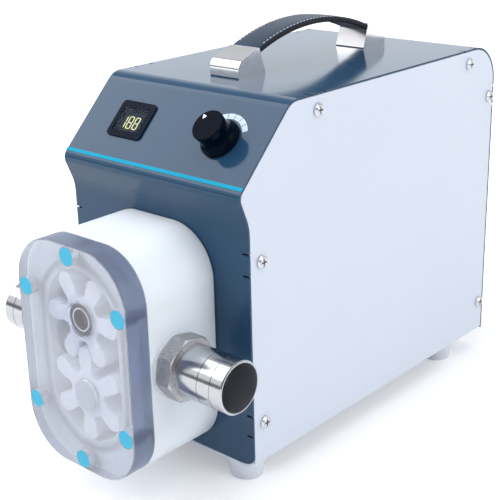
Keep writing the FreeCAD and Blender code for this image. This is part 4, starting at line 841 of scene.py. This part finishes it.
def makeFigures(setup):
    # the last of the three figures ends where the plain ones do
    plainLow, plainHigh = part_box("display_digits")
    firstLeft = plainHigh.x - 2 * setup["pitch"] - setup["width"]
    footY, footZ = plainLow.y + setup["plainThickness"] * math.sin(slopeTilt), plainLow.z
    left, right = setup["inset"], setup["width"] - setup["inset"]
    low, middle, high = setup["inset"], setup["height"] / 2, setup["height"] - setup["inset"]
    rightPair = [((right, low), (right, middle)), ((right, middle), (right, high))]
    leftPair = [((left, low), (left, middle)), ((left, middle), (left, high))]
    levels = [((left, level), (right, level)) for level in (low, middle, high)]
    one, eight = rightPair, rightPair + leftPair + levels
    half = setup["stroke"] / 2
    mesh = bmesh.new()
    for place, strokes in enumerate((one, eight, eight)):
        shift = firstLeft + place * setup["pitch"]
        for first, last in strokes:
            start, end = Vector(first), Vector(last)
            along = (end - start).normalized()
            start, end = start + along * setup["gap"], end - along * setup["gap"]
            side = Vector((-along.y, along.x)) * half
            outline = [start, start + along * half + side, end - along * half + side,
                       end, end - along * half - side, start + along * half - side]
            faces = []
            for height in (0.0, setup["thickness"]):
                spots = [(shift + spot.x,
                          footY + spot.y * math.cos(slopeTilt) - height * math.sin(slopeTilt),
                          footZ + spot.y * math.sin(slopeTilt) + height * math.cos(slopeTilt))
                         for spot in outline]
                faces.append([mesh.verts.new(spot) for spot in spots])
            lower, upper = faces
            mesh.faces.new(lower[::-1])
            mesh.faces.new(upper)
            joinRings(mesh, lower, upper)
    bmesh.ops.recalc_face_normals(mesh, faces=mesh.faces)
    return meshObject("lit_figures", mesh)


reading = makeFigures(figures)
reading.data.materials.append(litFinish)
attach(reading, "case")
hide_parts("display_digits")
print("stage: figures lit")


# leather strap over the handle's steel core, let into the chrome ends
strapLow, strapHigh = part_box("handle_strap")
strap = {
    "halfWidth": (strapHigh.x - strapLow.x) / 2,
    "middleY": (strapLow.y + strapHigh.y) / 2,
    "crownZ": strapHigh.z,
    "thickness": 4.2 * mm,
    "arcRadius": 158.2 * mm,
    "reach": 24.9,                # degrees of arc each side of the crown, ends buried in the caps
    "rings": 120,
    "crown": 0.35 * mm,           # how much the top swells between the stitch lines
    "edgeRound": 1.1 * mm,
    "edgeSteps": 7,
    "seamInset": 1.7 * mm,
    "seamWidth": 0.8 * mm,
    "seamDepth": 0.22 * mm,
}


def strapPoint(setup, angle, across, height):
    radius = setup["arcRadius"] + height
    centre = setup["crownZ"] - setup["arcRadius"]
    return Vector((across, setup["middleY"] + radius * math.sin(angle), centre + radius * math.cos(angle)))


# half outline of the band's section as (across, height above the outer face), from the middle outward
def strapSection(setup):
    half, thick, rounding = setup["halfWidth"], setup["thickness"], setup["edgeRound"]
    seam, width, depth = half - setup["seamInset"], setup["seamWidth"] / 2, setup["seamDepth"]
    low = -setup["crown"]
    # the swell in the middle, then the groove of the seam
    outline = [(0.0, 0.0), (half * 0.25, low * 0.05), (half * 0.45, low * 0.20), (half * 0.62, low * 0.55)]
    outline += [(seam - 2 * width, low * 0.8), (seam - width, low - depth * 0.5), (seam, low - depth),
                (seam + width, low - depth * 0.4)]
    # the upper and the lower edge, each a quarter circle
    for middleHeight, firstTurn in ((low - rounding, 90), (-thick + rounding, 0)):
        for step in range(setup["edgeSteps"]):
            turn = math.radians(firstTurn - 90 * step / (setup["edgeSteps"] - 1))
            across = half - rounding + rounding * math.cos(turn)
            outline.append((across, middleHeight + rounding * math.sin(turn)))
    outline += [(half * 0.55, -thick), (0.0, -thick)]
    return outline


def makeStrap(setup):
    section = strapSection(setup)
    outline = section + [(-across, height) for across, height in section[-2:0:-1]]
    mesh = bmesh.new()
    rings = []
    reach = math.radians(setup["reach"])
    for i in range(setup["rings"] + 1):
        angle = -reach + 2 * reach * i / setup["rings"]
        rings.append([mesh.verts.new(strapPoint(setup, angle, across, height)) for across, height in outline])
    for first, second in zip(rings, rings[1:]):
        joinRings(mesh, first, second)
    mesh.faces.new(rings[0][::-1])
    mesh.faces.new(rings[-1])
    bmesh.ops.recalc_face_normals(mesh, faces=mesh.faces)
    return meshObject("leather_strap", mesh, smooth=True)


strapLeather = {
    "colour": (0.020, 0.040, 0.074),
    "worn": (0.032, 0.058, 0.100),
    "wornScale": 60.0,
    "cutEdge": (0.010, 0.012, 0.018),
    "cutEdgeFrom": strap["halfWidth"] - 0.5 * mm,
    "cutEdgeSoft": 0.3 * mm,
    "shine": 0.2,
    "sheen": 0.03,
    "sheenRough": 0.5,
    "roughness": 0.36,
    "wornRough": 0.16,
    "grainScale": 1500.0,
    "creaseShare": 0.45,          # scale of the creases as a share of the grain's
    "creaseWidth": 0.12,          # as a share of a cell
    "pebbleHeight": 0.4,
    "grain": 0.30,
    "grainDepth": 0.12 * mm,
    "waves": 0.10,
    "waveDepth": 0.4 * mm,
}


def darkLeather(setup):
    finish, tree, shader = newFinish("darkLeather", {"IOR": 1.48, "Specular IOR Level": setup["shine"],
                                                    "Sheen Weight": setup["sheen"],
                                                    "Sheen Roughness": setup["sheenRough"]})
    place = objectPlace(tree)
    pebbles = cellsOf(tree, place, setup["grainScale"])
    creases = cellsOf(tree, place, setup["grainScale"] * setup["creaseShare"], "DISTANCE_TO_EDGE")
    cloud = noiseOf(tree, place, setup["wornScale"], 5.0, 0.6)
    across = reckon(tree, "ABSOLUTE", axisPart(tree, "X"))
    side = beyond(tree, across, setup["cutEdgeFrom"], setup["cutEdgeSoft"])
    skin = blendColour(tree, spread(tree, cloud, 0.0, 1.0), setup["colour"], setup["worn"])
    paint(tree, shader, blendColour(tree, side, skin, setup["cutEdge"]))
    roughen(tree, shader, cloud, setup["roughness"], setup["wornRough"])
    creased = spread(tree, creases, 0.0, 1.0, 0.0, setup["creaseWidth"])
    grain = reckon(tree, "SUBTRACT", creased, spread(tree, pebbles, 0.0, setup["pebbleHeight"], 0.0, 1.0))
    raiseBump(tree, shader, [(cloud, setup["waves"], setup["waveDepth"]),
                             (grain, setup["grain"], setup["grainDepth"])])
    return finish


# one stitch is a short capsule pressed into the seam, its ends dipping into the leather
stitch = {
    "length": 2.2 * mm,
    "gap": 1.4 * mm,
    "thickness": 0.6 * mm,
    "rise": 0.16 * mm,
    "dip": 0.45 * mm,
    "reach": 20.3,                # degrees of arc each side of the crown
    "segments": 8,
    "rings": 9,
    "seed": 7,
    "stray": 0.03,                # share of the pitch that a stitch may be off
    "lengthRange": (0.94, 1.04),
    "skew": 0.08 * mm,
}


def makeStitches(setup, band):
    mesh = bmesh.new()
    random.seed(setup["seed"])
    pitch = (setup["length"] + setup["gap"]) / band["arcRadius"]
    count = int(2 * math.radians(setup["reach"]) / pitch)
    seat = -band["crown"] - band["seamDepth"] + setup["rise"]
    turns = [2 * math.pi * k / setup["segments"] for k in range(setup["segments"])]
    for side in (-1, 1):
        across = side * (band["halfWidth"] - band["seamInset"])
        for i in range(count):
            middle = (i - (count - 1) / 2) * pitch + random.uniform(-setup["stray"], setup["stray"]) * pitch
            half = setup["length"] / 2 / band["arcRadius"] * random.uniform(*setup["lengthRange"])
            skew = random.uniform(-setup["skew"], setup["skew"])
            rings = []
            for j in range(setup["rings"]):
                t = -1 + 2 * j / (setup["rings"] - 1)
                thick = setup["thickness"] / 2 * math.sqrt(max(0.02, 1 - abs(t) ** 4))   # round ends
                sunk = seat - setup["dip"] * abs(t) ** 3
                rings.append([mesh.verts.new(strapPoint(band, middle + half * t,
                                                        across + skew * t + thick * math.cos(turn),
                                                        sunk + thick * math.sin(turn))) for turn in turns])
            for first, second in zip(rings, rings[1:]):
                joinRings(mesh, first, second)
            mesh.faces.new(rings[0][::-1])
            mesh.faces.new(rings[-1])
    bmesh.ops.recalc_face_normals(mesh, faces=mesh.faces)
    return meshObject("strap_stitches", mesh, smooth=True)


threadYarn = {
    # the hollows between the plies are painted darker, as painted shade
    "hollow": (0.66, 0.68, 0.70),
    "ply": (0.88, 0.89, 0.90),
    "plyScale": 3500.0,
    "plyStretch": (1.0, 0.35, 0.35),
    "plyRelief": 0.5,
    "plyDepth": 0.1 * mm,
    "sheen": 0.3,
    "roughness": 0.7,
}


def whiteThread(setup):
    finish, tree, shader = newFinish("whiteThread", {"IOR": 1.45, "Sheen Weight": setup["sheen"],
                                                    "Roughness": setup["roughness"]})
    ply = noiseOf(tree, objectPlace(tree, setup["plyStretch"]), setup["plyScale"], 2.0)
    # painted shade: darker in the hollows between the plies
    paint(tree, shader, blendColour(tree, ply, setup["hollow"], setup["ply"]))
    raiseBump(tree, shader, [(ply, setup["plyRelief"], setup["plyDepth"])])
    return finish


band = makeStrap(strap)
band.data.materials.append(darkLeather(strapLeather))
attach(band, "case")
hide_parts("handle_strap")
seam = makeStitches(stitch, strap)
seam.data.materials.append(whiteThread(threadYarn))
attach(seam, "case")
print("stage: strap sewn")


# pale floor, a white backdrop and a soft sky that is brighter overhead
studio = {
    "floorColour": (0.90, 0.90, 0.91),
    "floorReach": 6.0,
    "floorRough": 0.85,
    "floorSpeck": 0.10,
    "speckScale": 40.0,
    "floorLift": 0.25,            # seen on top of the lit floor, so that it runs into white
    "farLift": 0.65,              # the same, far out where the lamps fade
    "liftRange": (0.8, 2.6),
    "sky": (0.95, 0.975, 1.0),
    "horizon": 0.30,
    "zenith": 0.68,
    "skyRange": (0.0, 0.6),
    "backdrop": (0.96, 0.98, 1.0),
    "backdropStrength": 1.06,
    "mirroredFront": 0.22,        # how light the room in front of the pump is in a reflection
    "frontRange": (-0.55, 0.15),
    "mirroredTop": 0.50,          # the same for the ceiling
    "topRange": (0.35, 0.75),
}

# soft boxes above, at the front and back on the left, and a fill at the right:
# place, aim, width, height, power and colour of each
lamps = {
    "overhead": ((0.35, -0.1, 2.3), (0.0, 0.0, 0.1), 2.4, 2.0, 17.0, (1.0, 1.0, 1.0)),
    "upLeftBox": ((-1.45, -0.83, 1.84), (0.0, -0.08, 0.22), 1.9, 1.5, 25.0, (1.0, 1.0, 1.0)),
    "backLeftBox": ((-1.64, 1.86, 1.14), (0.0, 0.04, 0.25), 2.2, 1.4, 3.8, (0.82, 0.92, 1.0)),
    "frontLeftBox": ((-1.5, -2.1, 1.5), (0.0, -0.1, 0.15), 2.3, 1.9, 13.0, (1.0, 1.0, 1.0)),
    "rightFill": ((2.6, 0.5, 1.4), (0.0, 0.0, 0.12), 1.8, 1.4, 22.0, (1.0, 1.0, 1.0)),
}


# 1 for what is seen straight, in a reflection or through clear plastic
def seenRay(tree):
    path = tree.nodes.new("ShaderNodeLightPath")
    mirrored = reckon(tree, "MAXIMUM", path.outputs["Is Camera Ray"], path.outputs["Is Glossy Ray"])
    return reckon(tree, "MAXIMUM", mirrored, path.outputs["Is Transmission Ray"])


def layFloor(setup):
    mesh = bmesh.new()
    reach = setup["floorReach"]
    corners = ((-reach, -reach), (reach, -reach), (reach, reach), (-reach, reach))
    mesh.faces.new([mesh.verts.new((x, y, 0.0)) for x, y in corners])
    floor = meshObject("studio_floor", mesh)
    finish, tree, shader = newFinish("studioFloor", {"Base Color": setup["floorColour"],
                                                     "Emission Color": (1.0, 1.0, 1.0)})
    fromMiddle = distanceFromAxis(tree, "Z", (0.0, 0.0, 0.0))
    lift = spread(tree, fromMiddle, setup["floorLift"], setup["farLift"], *setup["liftRange"])
    tree.links.new(reckon(tree, "MULTIPLY", seenRay(tree), lift), shader.inputs["Emission Strength"])
    speck = noiseOf(tree, objectPlace(tree), setup["speckScale"], 3.0)
    roughen(tree, shader, speck, setup["floorRough"], setup["floorSpeck"])
    floor.data.materials.append(finish)


def lightWorld(setup):
    world = bpy.data.worlds.new("studioWorld")
    world.use_nodes = True
    tree = world.node_tree
    light = tree.nodes["Background"]
    feed(tree, light.inputs["Color"], setup["sky"])
    towards = tree.nodes.new("ShaderNodeSeparateXYZ")
    tree.links.new(tree.nodes.new("ShaderNodeTexCoord").outputs["Generated"], towards.inputs["Vector"])
    skyStrength = spread(tree, towards.outputs["Z"], setup["horizon"], setup["zenith"], *setup["skyRange"])
    tree.links.new(skyStrength, light.inputs["Strength"])
    # the backdrop is white, and a reflection also shows the dimmer room in front of it and the ceiling
    seen = tree.nodes.new("ShaderNodeBackground")
    feed(tree, seen.inputs["Color"], setup["backdrop"])
    front = spread(tree, towards.outputs["Y"], setup["mirroredFront"], 1.0, *setup["frontRange"])
    ceiling = spread(tree, towards.outputs["Z"], 1.0, setup["mirroredTop"], *setup["topRange"])
    room = reckon(tree, "MULTIPLY", front, ceiling)
    path = tree.nodes.new("ShaderNodeLightPath")
    mirrored = blendValue(tree, path.outputs["Is Glossy Ray"], setup["backdropStrength"], room)
    tree.links.new(mirrored, seen.inputs["Strength"])
    pick = tree.nodes.new("ShaderNodeMixShader")
    for output, socket in ((seenRay(tree), 0), (light.outputs[0], 1), (seen.outputs[0], 2)):
        tree.links.new(output, pick.inputs[socket])
    tree.links.new(pick.outputs[0], tree.nodes["World Output"].inputs["Surface"])
    bpy.context.scene.world = world


def hangLamps(setup):
    for name, (place, aim, width, height, power, colour) in setup.items():
        data = bpy.data.lights.new(name, "AREA")
        data.shape = "RECTANGLE"
        data.size = width
        data.size_y = height
        data.energy = power
        data.color = colour
        lamp = bpy.data.objects.new(name, data)
        lamp.location = place
        lamp.rotation_euler = (Vector(aim) - Vector(place)).to_track_quat("-Z", "Y").to_euler()
        bpy.context.scene.collection.objects.link(lamp)


layFloor(studio)
lightWorld(studio)
hangLamps(lamps)
bpy.context.scene.view_settings.view_transform = "Standard"
print("stage: studio lit")
